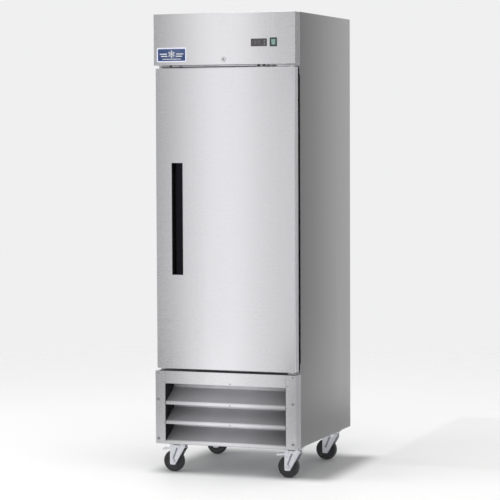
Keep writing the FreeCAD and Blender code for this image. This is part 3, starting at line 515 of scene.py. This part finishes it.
def display_digits():
    """Two unlit digits in the controller's window."""
    digits = bmesh.new()
    for offset, value in ((-0.009, 3), (0.009, 0)):
        place = on_front("controller_window") @ Matrix.Translation((offset, 0, 0))
        digit(digits, value, place, width=0.008, height=0.014, pen=0.0015)
    piece("display_digits", digits, "display_glass", material="digit_grey")


def key_arrow(name, turn):
    """Arrow on a key, pointing up where turn is 1 and down where it is -1."""
    half_arrow, point, foot = 0.0022, 0.0014, -0.0010
    arrow = bmesh.new()
    for side in (-1, 1):
        bar(arrow, (0.0, point * turn), (side * half_arrow, foot * turn), width=0.0008,
            low=-0.0002, high=0.00015, place=on_front(name))
    piece(name + "_arrow", arrow, "key_grey", name, "mark_white")


def rocker_marks():
    """A bar for on and a ring for off, on the rocker's leaning face."""
    low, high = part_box("rocker")
    x, _, z = middle("rocker")
    tip = 0.0033
    lean = math.atan2(tip, high[2] - low[2])
    place = facing((x, low[1] + tip / 2, z), (0, -math.cos(lean), math.sin(lean)))
    marks = bmesh.new()
    sunk, proud = -0.0001, 0.00012
    ring_inner, ring_outer, ring_down = 0.0019, 0.0026, 0.0065
    bar(marks, (0.0, 0.0050), (0.0, 0.0090), width=0.0010, low=sunk, high=proud, place=place)
    lathe(marks, [(ring_inner, sunk), (ring_inner, proud), (ring_outer, proud),
                  (ring_outer, sunk)],
          place @ Matrix.Translation((0.0, -ring_down, 0.0)), 24, wrap=True)
    piece("rocker_marks", marks, "rocker_green", "rocker", "mark_white")


# --- Fastenings ----------------------------------------------------------------------------
def cross_ring(arm, slot_half, height):
    """Ring of a cross-shaped recess, on the same angles as a screw head's ring."""
    first = math.atan2(slot_half, arm)
    angles = (0.0, first, math.pi / 6, math.pi / 4, math.pi / 3, math.pi / 2 - first)
    ring = []
    for quarter in range(4):
        for a in angles:
            side = min(a, math.pi / 2 - a)
            reach = arm / math.cos(side) if side <= first + 1e-9 else slot_half / math.sin(side)
            turn = a + quarter * math.pi / 2
            ring.append((reach * math.cos(turn), reach * math.sin(turn), height))
    return ring


# Radius and height of the screws in the sheets at the back
SHEET_SCREW = (0.0042, 0.0018)


def screw(shape, centre, outward, radius, height):
    """Pan-head screw with a cross recess."""
    place = facing(centre, outward)
    arm, slot_half = radius * 0.58, radius * 0.13
    cross = cross_ring(arm, slot_half, height)
    turns = [math.atan2(y, x) for x, y, _ in cross]

    def ring(r, h):
        return [(r * math.cos(a), r * math.sin(a), h) for a in turns]

    skin(shape, [
        ring(radius, 0.0),
        ring(radius, height * 0.45),
        ring(radius * 0.9, height * 0.8),
        ring(radius * 0.72, height * 0.97),
        cross,
        cross_ring(arm * 0.7, slot_half * 0.7, height * 0.25),
    ], place)


def hexagon(shape, centre, outward, across_flats, height, stud):
    """Hexagon nut with a chamfered face, and the end of a stud of the given radius."""
    place = facing(centre, outward)
    corner = across_flats / math.sqrt(3)
    rings = ((corner, 0.0), (corner, height * 0.85), (corner * 0.9, height))
    lathe(shape, rings, place, 6)
    lathe(shape, [(stud, height * 0.8), (stud, height * 1.5), (stud * 0.8, height * 1.7)],
          place, 20)


def front_screws():
    """Small screws in three rows across the grille, and larger ones down its stiles."""
    low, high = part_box("grille_frame")
    face = low[1]
    blade_low, blade_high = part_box("louvre_blades")
    screws = bmesh.new()
    beside, near_middle = 0.0075, 0.024
    for x in (blade_low[0] - beside, near_middle, blade_high[0] + beside):
        for up in (0.094, 0.184, 0.282):
            screw(screws, (x, face, low[2] + up), FORWARD, radius=0.0030, height=0.0012)
    from_side, large, small, rise = 0.014, 0.0072, 0.0045, 0.32
    for x in (low[0] + from_side, high[0] - from_side):
        for z, wide in ((low[2] + 0.021, large), (low[2] + 0.202, large), (high[2] - 0.009, small)):
            screw(screws, (x, face, z), FORWARD, radius=wide, height=wide * rise)
    piece("front_screws", screws, "zinc", material="screw_steel", instead_of=("panel_screws",))


def header_stops():
    """Small rubber stops under the header."""
    stops = bmesh.new()
    _, front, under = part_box("header_panel")[0]
    for x in (-0.258, 0.167, 0.193):
        lathe(stops, [(0.0054, 0.0), (0.0062, 0.002), (0.0062, 0.0078), (0.0042, 0.0092)],
              facing((x, front + 0.007, under + 0.0005), DOWNWARD), 20)
    piece("header_stops", stops, "gasket_rubber")


def lock_rings():
    """A dark joint round the lock's plug, and a dark ring round its rim that paints the shade at
    the rim's edge.
    """
    rings = bmesh.new()
    half_foot, half_top, proud = 0.0005, 0.0003, 0.0006
    # The outer ring is painted shade round the rim
    for radius, foot in ((0.0042, -0.0004), (0.0113, -0.0019)):
        lathe(rings, [(radius - half_foot, foot), (radius + half_foot, foot),
                      (radius + half_top, foot + proud), (radius - half_top, foot + proud)],
              on_front("lock_barrel"), 32, wrap=True)
    piece("lock_rings", rings, "black_plastic")


def rear_screws():
    """Screws down the back panel and round the vent panel."""
    rear = bmesh.new()
    from_edge, from_end, rows = 0.012, 0.03, 6
    low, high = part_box("rear_and_deck_panels")
    for x in (low[0] + from_edge, 0.0, high[0] - from_edge):
        for row in range(rows):
            z = low[2] + from_end + (high[2] - low[2] - 2 * from_end) * row / (rows - 1)
            screw(rear, (x, high[1], z), REARWARD, *SHEET_SCREW)
    vent_end = 0.02
    low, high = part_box("rear_vent")
    for x in (low[0] + from_edge, high[0] - from_edge):
        for z in (low[2] + vent_end, (low[2] + high[2]) / 2, high[2] - vent_end):
            screw(rear, (x, high[1], z), REARWARD, *SHEET_SCREW)
    piece("rear_screws", rear, "zinc", material="screw_steel")


def top_rivets():
    """A row of rivets along each side of the top."""
    rivets = bmesh.new()
    from_edge, from_end, count = 0.010, 0.03, 5
    low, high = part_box("top_panel")
    for x in (low[0] + from_edge, high[0] - from_edge):
        for i in range(count):
            y = low[1] + from_end + (high[1] - low[1] - 2 * from_end) * i / (count - 1)
            lathe(rivets, [(0.0032, -0.0005), (0.0031, 0.0002), (0.0022, 0.0008), (0.0008, 0.001)],
                  facing((x, y, high[2]), UPWARD), 20)
    piece("top_rivets", rivets, "zinc")


def hinge_screws():
    """Two screws on each hinge bracket's tab."""
    tabs = bmesh.new()
    low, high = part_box("hinge_brackets")
    tab_thick, from_side, near, far = 0.0035, 0.0095, 0.0135, 0.0315
    tab_face = front_of("front_frame") - tab_thick
    for z in (low[2] + near, low[2] + far, high[2] - near, high[2] - far):
        screw(tabs, (high[0] - from_side, tab_face, z), FORWARD, radius=0.0042, height=0.0020)
    piece("hinge_screws", tabs, "zinc", material="screw_steel")


def gland_cap():
    """Twelve-sided cap round the cord gland's hole."""
    cap = bmesh.new()
    x, _, z = middle("cord_gland")
    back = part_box("rear_vent")[1][1]
    lathe(cap, [(0.0062, 0.0), (0.0062, 0.006), (0.0095, 0.006), (0.0135, 0.0035),
                (0.0140, 0.0)], facing((x, back - 0.001, z), REARWARD), 12, wrap=True)
    piece("gland_cap", cap, "black_plastic")


# --- Trim ----------------------------------------------------------------------------------
def grille_baffles_and_shade():
    """Black plates that close the ends of the louvres; their black also stands in for the shade
    inside the grille's ends.
    """
    low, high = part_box("grille_frame")
    blade_low, blade_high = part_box("louvre_blades")
    rail, back_from, outside = 0.062, 0.002, 0.0021
    baffles = bmesh.new()
    half_y = half_size("louvre_blades")[1] - back_from
    half_z = (high[2] - low[2] - rail) / 2
    for x, inward in ((blade_low[0] - outside, 1), (blade_high[0] + outside, -1)):
        centre = (x, blade_low[1] + back_from + half_y, low[2] + 0.001 + half_z)
        plate(baffles, half_y, half_z, corner=0.002, low=0.0, high=0.0012,
              place=facing(centre, (inward, 0, 0)))
    piece("grille_baffles_and_shade", baffles, "black_plastic")


def grille_seams():
    """Upright joints between the grille's top rail and its stiles."""
    low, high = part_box("grille_frame")
    blade_low, blade_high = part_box("louvre_blades")
    seams = bmesh.new()
    face = facing((0.0, low[1], 0.0), FORWARD)
    outside, rail, from_top = 0.0006, 0.061, 0.002
    for x in (blade_low[0] - outside, blade_high[0] + outside):
        bar(seams, (x, high[2] - rail), (x, high[2] - from_top), width=0.0011, low=-0.0004,
            high=0.0002, place=face)
    piece("grille_seams", seams, "stainless", material="screw_steel")


def sill_seal_and_shade():
    """Rubber seal on top of the grille, under the door; its dark rubber also stands in for the
    shade in the gap under the door.
    """
    low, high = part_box("grille_frame")
    seal = bmesh.new()
    aside, from_side, sunk = 0.007, 0.008, 0.0002
    half_deep, from_front = 0.030, 0.036
    centre = (aside, low[1] + from_front, high[2] - sunk)
    plate(seal, half_size("grille_frame")[0] - from_side, half_deep, corner=0.003, low=0.0,
          high=0.0018, place=facing(centre, UPWARD), soft=0.0006)
    piece("sill_seal_and_shade", seal, "gasket_rubber", material="sill_rubber")


def gap_shade_strip():
    """Dark rubber strip on the cabinet's front, behind the gap between the header and the door: it
    paints the shade in that gap.
    """
    gap = (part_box("header_panel")[0][2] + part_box("door_skin")[1][2]) / 2
    from_side, half_high, corner = 0.010, 0.0018, 0.0010
    strip = bmesh.new()
    plate(strip, half_size("front_frame")[0] - from_side, half_high, corner, low=-0.0002,
          high=0.0012, place=facing((0.0, front_of("front_frame"), gap), FORWARD))
    piece("gap_shade_strip", strip, "gasket_rubber", material="sill_rubber")


def handle_rim():
    """Thin moulded rim that covers the cut edge of the skin round the recessed handle."""
    half_x, _, half_z = half_size("handle_pocket")
    x, _, z = middle("handle_pocket")
    foot, shoulder, top = -0.0003, 0.0006, 0.0011
    # Distance in from the pocket's edge, corner radius, height
    section = (
        (0.0040, 0.0020, foot), (0.0040, 0.0020, shoulder), (0.0046, 0.0016, top),
        (0.0057, 0.0010, top), (0.0060, 0.0008, shoulder), (0.0060, 0.0008, foot),
    )
    rim = bmesh.new()
    rings = [slab(half_x - inset, half_z - inset, corner, height)
             for inset, corner, height in section]
    skin(rim, rings, facing((x, front_of("door_skin"), z), FORWARD), wrap=True)
    piece("handle_rim", rim, "black_plastic", "door", "rim_plastic")


# --- Door seal -----------------------------------------------------------------------------
# Section in millimetres: distance in from the seal's outer edge, and distance back
SEAL = [
    (0.0, 0.0), (16.0, 0.0), (16.0, 2.2), (12.6, 3.0), (12.4, 4.2), (15.2, 5.6), (12.4, 7.0),
    (12.6, 8.4), (15.6, 9.4), (16.0, 10.3), (16.0, 13.8), (15.2, 14.6), (0.8, 14.6),
    (0.0, 13.8), (0.0, 10.3), (0.4, 9.4), (3.4, 8.4), (3.6, 7.0), (0.8, 5.6), (3.6, 4.2),
    (3.4, 3.0), (0.0, 2.2),
]


def door_seal():
    """Magnetic seal: a bellows section run round the door with mitred corners."""
    half_x, _, half_z = half_size("door_gasket")
    x, _, z = middle("door_gasket")
    seal = bmesh.new()
    rings = []
    for across, deep in SEAL:
        w, h = half_x - across / 1000, half_z - across / 1000
        rings.append([(w, h, deep / 1000), (-w, h, deep / 1000), (-w, -h, deep / 1000),
                      (w, -h, deep / 1000)])
    skin(seal, rings, facing((x, front_of("door_gasket"), z), REARWARD), wrap=True)
    piece("door_seal", seal, "gasket_rubber", "door", instead_of=("door_gasket",), sharp=50)


# --- Casters -------------------------------------------------------------------------------
# Half profiles in millimetres: radius, and distance from the wheel's middle
TYRE = [
    (37.0, 11.0), (39.5, 12.2), (41.6, 12.4), (42.0, 11.9), (42.6, 11.9), (43.0, 12.4),
    (45.0, 12.2), (48.0, 10.8), (49.5, 8.0), (50.0, 4.5),
]
CORE = [
    (6.1, 13.4), (11.0, 13.4), (12.4, 12.6), (13.4, 9.4), (17.0, 8.0), (29.0, 7.6),
    (33.0, 8.6), (35.0, 11.2), (37.3, 11.4),
]


# How far each wheel's axle stands from its swivel axis
CASTER_TRAIL = 0.022


def both_sides(profile):
    """Closed loop, in metres, of a half profile and its mirror image."""
    near = [(r / 1000, h / 1000) for r, h in profile]
    return near + [(r, -h) for r, h in reversed(near)]


def caster_wheel(where):
    """Tyre, and a core with eight spokes on each side."""
    wheel = "caster_wheel_" + where
    x, y, _ = middle(wheel)
    radius = half_size(wheel)[0]
    hub = facing((x, y, radius), FORWARD)
    tyre, core = bmesh.new(), bmesh.new()
    lathe(tyre, both_sides(TYRE), hub, 72, wrap=True)
    piece("tyre_" + where, tyre, "tread", "wheel_" + where, instead_of=(wheel,))
    lathe(core, both_sides(CORE), hub, 48, wrap=True)
    spokes = 8
    for i in range(spokes):
        turn = Matrix.Rotation(2 * math.pi * i / spokes, 4, "Z")
        for side in (FORWARD, REARWARD):
            place = facing((x, y, radius), side) @ turn
            bar(core, (0.0135, 0.0), (0.0335, 0.0), width=0.0022, low=0.0070, high=0.0096,
                place=place)
    piece("wheel_core_" + where, core, "tread", "wheel_" + where, "wheel_core")


def caster_fork(where):
    """The fork's pressed ribs and flanges, in a darker copy of the zinc that paints shade on them,
    and the axle's nuts.
    """
    wheel = "caster_wheel_" + where
    x, y, _ = middle(wheel)
    radius = half_size(wheel)[0]
    half_leg, cheek = 0.0175, 0.0050
    pressed, nuts = bmesh.new(), bmesh.new()
    for side in (FORWARD, REARWARD):
        sign = -side[1]
        place = facing((x, y + side[1] * half_leg, radius), side)
        rib = (sign * 0.001, 0.014), (sign * 0.019, 0.058)
        flange = (sign * 0.0115, -0.0155), (sign * 0.0565, 0.0615)
        bar(pressed, *rib, width=0.0085, low=-0.0004, high=0.0016, place=place)
        bar(pressed, *flange, width=0.0030, low=-0.0026, high=0.0042, place=place)
        hexagon(nuts, (x, y + side[1] * (half_leg + cheek), radius), side, across_flats=0.013,
                height=0.0035, stud=0.0035)
    piece("fork_ribs_" + where, pressed, "zinc", "swivel_" + where, "rib_shaded_zinc")
    piece("axle_nuts_" + where, nuts, "zinc", "swivel_" + where)


def caster_plate(where):
    """Raceway seal and the four bolts of the caster's plate."""
    x, y, _ = middle("caster_wheel_" + where)
    swivel_x = x + CASTER_TRAIL
    seal = bmesh.new()
    under_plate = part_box("caster_fork_" + where)[1][2]
    lathe(seal, [(0.0250, -0.0012), (0.0264, -0.0012), (0.0268, 0.0), (0.0264, 0.0022),
                 (0.0250, 0.0022)], facing((swivel_x, y, under_plate), UPWARD), 48, wrap=True)
    piece("race_seal_" + where, seal, "gasket_rubber", "cabinet")
    bolts = bmesh.new()
    plate_thick, bolt_x, bolt_y = 0.0035, 0.027, 0.035
    plate_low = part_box("base_pan")[0][2] - plate_thick
    for i in (-1, 1):
        for j in (-1, 1):
            centre = (swivel_x + i * bolt_x, y + j * bolt_y, plate_low)
            hexagon(bolts, centre, DOWNWARD, across_flats=0.013, height=0.0055, stud=0.0040)
    piece("plate_bolts_" + where, bolts, "zinc")


def brake_grip(side):
    """Raised grip bars across a brake pedal's tip."""
    half_bar, first, pitch, below = 0.0105, 0.0085, 0.0055, 0.0026
    lever = "brake_lever_" + side
    low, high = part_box(lever)
    grips = bmesh.new()
    for i in range(3):
        place = facing((low[0] + first + i * pitch, middle(lever)[1], high[2] - below), UPWARD)
        bar(grips, (0.0, -half_bar), (0.0, half_bar), width=0.0022, low=-0.0015, high=0.0012,
            place=place)
    piece("brake_grip_" + side, grips, "zinc", "brake_" + side, "screw_steel")


# --- Inside --------------------------------------------------------------------------------
def shelf_standards():
    """Four slotted strips that carry the shelf clips."""
    low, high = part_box("shelf_standards")
    strips = bmesh.new()
    depth, width, pitch, slot = 0.008, 0.020, 0.0254, 0.0065
    columns = (0.0, 0.0055, 0.0145, width)  # Edge, slot, slot, edge
    count = int((high[2] - low[2]) / pitch)
    for wall, sign in ((low[0], 1), (high[0], -1)):
        for start in (low[1], high[1] - width):
            rows = [low[2]]
            for i in range(count):
                slot_z = low[2] + (i + 0.5) * pitch
                rows += [slot_z - slot / 2, slot_z + slot / 2]
            rows.append(high[2])
            face_x = wall + sign * depth
            grid = [[strips.verts.new((face_x, start + c, z)) for c in columns] for z in rows]
            for i, (below, above) in enumerate(zip(grid, grid[1:])):
                for j in range(3):
                    if i % 2 == 0 or j != 1:
                        strips.faces.new((below[j], below[j + 1], above[j + 1], above[j]))
            for j in (0, 3):
                edge = [strips.verts.new((wall, start + columns[j], z)) for z in (low[2], high[2])]
                side = [row[j] for row in grid]
                strips.faces.new([edge[0], *side, edge[1]])
    item = piece("slotted_standards", strips, "stainless", instead_of=("shelf_standards",))
    sheet = item.modifiers.new("sheet", "SOLIDIFY")
    sheet.thickness, sheet.offset = 0.001, -1.0


def fan_guard():
    """Wire guard under the air cooler's fan: rings on four spokes."""
    x, y, _ = middle("evaporator_fan")
    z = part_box("evaporator_housing")[0][2]
    guard = bmesh.new()
    wire_radius = 0.0011
    wire = [(across, along) for across, along, _ in circle(wire_radius, 0.0, 8)]
    place = facing((x, y, z - 2 * wire_radius), DOWNWARD)
    for radius in (0.022, 0.036, 0.050, 0.064, 0.078, 0.092):
        lathe(guard, [(radius + across, along) for across, along in wire], place, 48, wrap=True)
    for i in range(4):
        spoke = place @ Matrix.Rotation(math.pi / 4 + math.pi / 2 * i, 4, "Z")
        bar(guard, (0.018, 0.0), (0.097, 0.0), width=0.0034, low=-0.0022, high=-0.0006,
            place=spoke)
    piece("fan_guard", guard, "shelf_coating")


badge()
display_digits()
key_arrow("key_up", 1)
key_arrow("key_down", -1)
rocker_marks()
front_screws()
header_stops()
lock_rings()
grille_baffles_and_shade()
grille_seams()
sill_seal_and_shade()
gap_shade_strip()
handle_rim()
rear_screws()
top_rivets()
hinge_screws()
gland_cap()
door_seal()
for corner_name in ("front_left", "front_right", "rear_left", "rear_right"):
    caster_wheel(corner_name)
    caster_fork(corner_name)
    caster_plate(corner_name)
for side_name in ("left", "right"):
    brake_grip(side_name)
shelf_standards()
fan_guard()


# --- Stage, light and camera ---------------------------------------------------------------
def stage_sheet(name, width, depth, cells, paint):
    """A flat grid about its own origin, with a finish of its own."""
    mesh = bpy.data.meshes.new(name)
    shape = bmesh.new()
    bmesh.ops.create_grid(shape, x_segments=cells, y_segments=cells, size=0.5)
    bmesh.ops.scale(shape, vec=(width, depth, 1.0), verts=shape.verts)
    shape.to_mesh(mesh)
    shape.free()
    mesh.materials.append(paint.material)
    sheet = bpy.data.objects.new(name, mesh)
    bpy.context.scene.collection.objects.link(sheet)
    return sheet


def aim(item, centre, target):
    """Puts a lamp or card at its centre and turns its front to the target."""
    item.location = centre
    item.rotation_euler = (Vector(target) - Vector(centre)).to_track_quat("-Z", "Y").to_euler()


def stage_floor(size=18.0, colour=(0.94, 0.94, 0.935), fade_from=2.2, fade_to=6.0):
    """A pale floor under the wheels that fades out into the pale surroundings."""
    paint = Paint("floor", Roughness=0.55, Specular_IOR_Level=0.2, Emission_Strength=0.03,
                  Emission_Color=(1.0, 1.0, 1.0, 1.0))
    grain = paint.noise((30.0, 30.0, 1.0), 4.0)
    paint.link(paint.colour(paint.ramp(grain, 0.0, 1.0), tint(colour, 0.99), colour), "Base Color")
    reach = paint.add("VectorMath", {0: paint.place}, operation="LENGTH").outputs["Value"]
    paint.link(paint.ramp(reach, 1.0, 0.0, fade_from, fade_to), "Alpha")
    floor = stage_sheet("floor", size, size, 8, paint)


def painted_contact_shadow(left=-0.36, right=0.48, front=-0.38, back=0.38, size=1.6, lift=0.0006):
    """Painted shadow: a dark sheet just above the floor, seen only by the camera, for the soft
    shadow that light from the upper left leaves under and beside the cabinet.
    """
    paint = Paint("painted_contact_shadow", Roughness=1.0, Specular_IOR_Level=0.0)
    grain = paint.noise((20.0, 20.0, 1.0))
    paint.link(paint.colour(grain, (0.010,) * 3, (0.014,) * 3), "Base Color")
    axes = paint.add("SeparateXYZ", {0: paint.place}).outputs
    # How dark the painted shadow is under the middle and out to the sides
    from_middle, to_side, at_middle, at_side = 0.1, 0.35, 0.22, 0.56
    across = paint.maths("ABSOLUTE", axes["X"], 0.0)
    cover = paint.ramp(across, at_middle, at_side, from_middle, to_side)
    soft_x, soft_y = 0.07, 0.09
    for axis, edge, soft in (("X", left, soft_x), ("X", right, -soft_x), ("Y", front, soft_y),
                             ("Y", back, -soft_y)):
        settings = {"Value": axes[axis], 1: edge - soft, 2: edge + soft, 3: 0.0, 4: 1.0}
        inside = paint.add("MapRange", settings, interpolation_type="SMOOTHSTEP").outputs[0]
        cover = paint.maths("MULTIPLY", cover, inside)
    paint.link(cover, "Alpha")
    shadow = stage_sheet("painted_contact_shadow", size, size, 4, paint)
    shadow.location = (0.0, 0.0, lift)
    shadow.visible_glossy = False
    shadow.visible_diffuse = False
    shadow.visible_shadow = False


def surroundings(level=0.87):
    world = bpy.data.worlds.new("surroundings")
    world.use_nodes = True
    background = world.node_tree.nodes["Background"]
    background.inputs["Color"].default_value = (level, level, level * 1.003, 1.0)
    background.inputs["Strength"].default_value = 1.0
    bpy.context.scene.world = world


def softbox(name, centre, target, width, height, power, diffuse=True):
    """An area lamp that the camera doesn't see."""
    lamp = bpy.data.lights.new(name, "AREA")
    lamp.shape = "RECTANGLE"
    lamp.size, lamp.size_y, lamp.energy = width, height, power
    holder = bpy.data.objects.new(name, lamp)
    bpy.context.scene.collection.objects.link(holder)
    aim(holder, centre, target)
    holder.visible_camera = False
    holder.visible_diffuse = diffuse


def dark_card(name, centre, target, width, height, grey):
    """A matt card outside the view that gives the steel something darker to reflect."""
    paint = Paint(name, Roughness=0.9)
    grain = paint.noise(20.0)
    paint.link(paint.colour(grain, (grey,) * 3, (grey * 1.1,) * 3), "Base Color")
    card = stage_sheet(name, width, height, 1, paint)
    aim(card, centre, target)
    card.visible_camera = False
    card.visible_shadow = False
    card.visible_diffuse = False


# The camera's place in metres, its turns in radians, its lens and sensor in millimetres
CAMERA_PLACE = (3.3666, -9.2676, 1.5721)
CAMERA_YAW, CAMERA_PITCH, CAMERA_ROLL = 0.3508, -0.0569, -0.0043
CAMERA_LENS, SENSOR_WIDTH = 151.3, 36.0


def camera():
    """The view from the front right, from above the cabinet's middle, tilted a little down."""
    data = bpy.data.cameras.new("camera")
    data.lens, data.sensor_width = CAMERA_LENS, SENSOR_WIDTH
    data.clip_start, data.clip_end = 0.1, 100.0
    holder = bpy.data.objects.new("camera", data)
    bpy.context.scene.collection.objects.link(holder)
    turn = Matrix.Rotation(CAMERA_YAW, 4, "Z")
    tilt = Matrix.Rotation(math.pi / 2 + CAMERA_PITCH, 4, "X")
    lean = Matrix.Rotation(CAMERA_ROLL, 4, "Z")
    holder.matrix_world = Matrix.Translation(CAMERA_PLACE) @ turn @ tilt @ lean
    bpy.context.scene.camera = holder


stage_floor()
painted_contact_shadow()
surroundings()
softbox("strip_front", centre=(-0.81, -2.5, 1.75), target=(-0.81, 0.0, 1.75),
        width=0.34, height=3.4, power=2.0)
softbox("strip_low", centre=(-0.36, -1.3, 0.2), target=(-0.36, 0.0, 0.2),
        width=0.15, height=0.4, power=0.05, diffuse=False)
softbox("top_soft", centre=(0.4, -0.8, 4.2), target=(0.0, 0.0, 1.0),
        width=2.4, height=2.4, power=40.0)
softbox("left_fill", centre=(-3.4, -1.9, 2.6), target=(0.0, 0.0, 0.6),
        width=1.6, height=1.6, power=26.0)
dark_card("card_left", centre=(-1.82, -2.6, 1.75), target=(-0.3, -0.4, 1.75),
          width=1.15, height=3.4, grey=0.28)
dark_card("card_left_low", centre=(-1.0, -1.4, 0.2), target=(-0.3, -0.4, 0.2),
          width=0.7, height=0.4, grey=0.3)
dark_card("card_front", centre=(0.48, -2.7, 1.75), target=(0.2, -0.4, 1.75),
          width=1.15, height=3.4, grey=0.22)
dark_card("card_front_low", centre=(0.25, -1.4, 0.2), target=(0.2, -0.4, 0.2),
          width=0.64, height=0.4, grey=0.3)
dark_card("card_header", centre=(-0.1, -2.4, 2.2), target=(0.1, -0.4, 2.1),
          width=0.8, height=0.45, grey=0.42)
dark_card("card_right", centre=(1.80, 2.45, 1.6), target=(0.34, 0.0, 1.6),
          width=1.2, height=3.2, grey=0.01)
dark_card("card_floor", centre=(1.5, 1.05, 0.012), target=(1.5, 1.05, 2.0),
          width=2.0, height=1.7, grey=0.3)
camera()
bpy.context.scene.view_settings.view_transform = "Standard"
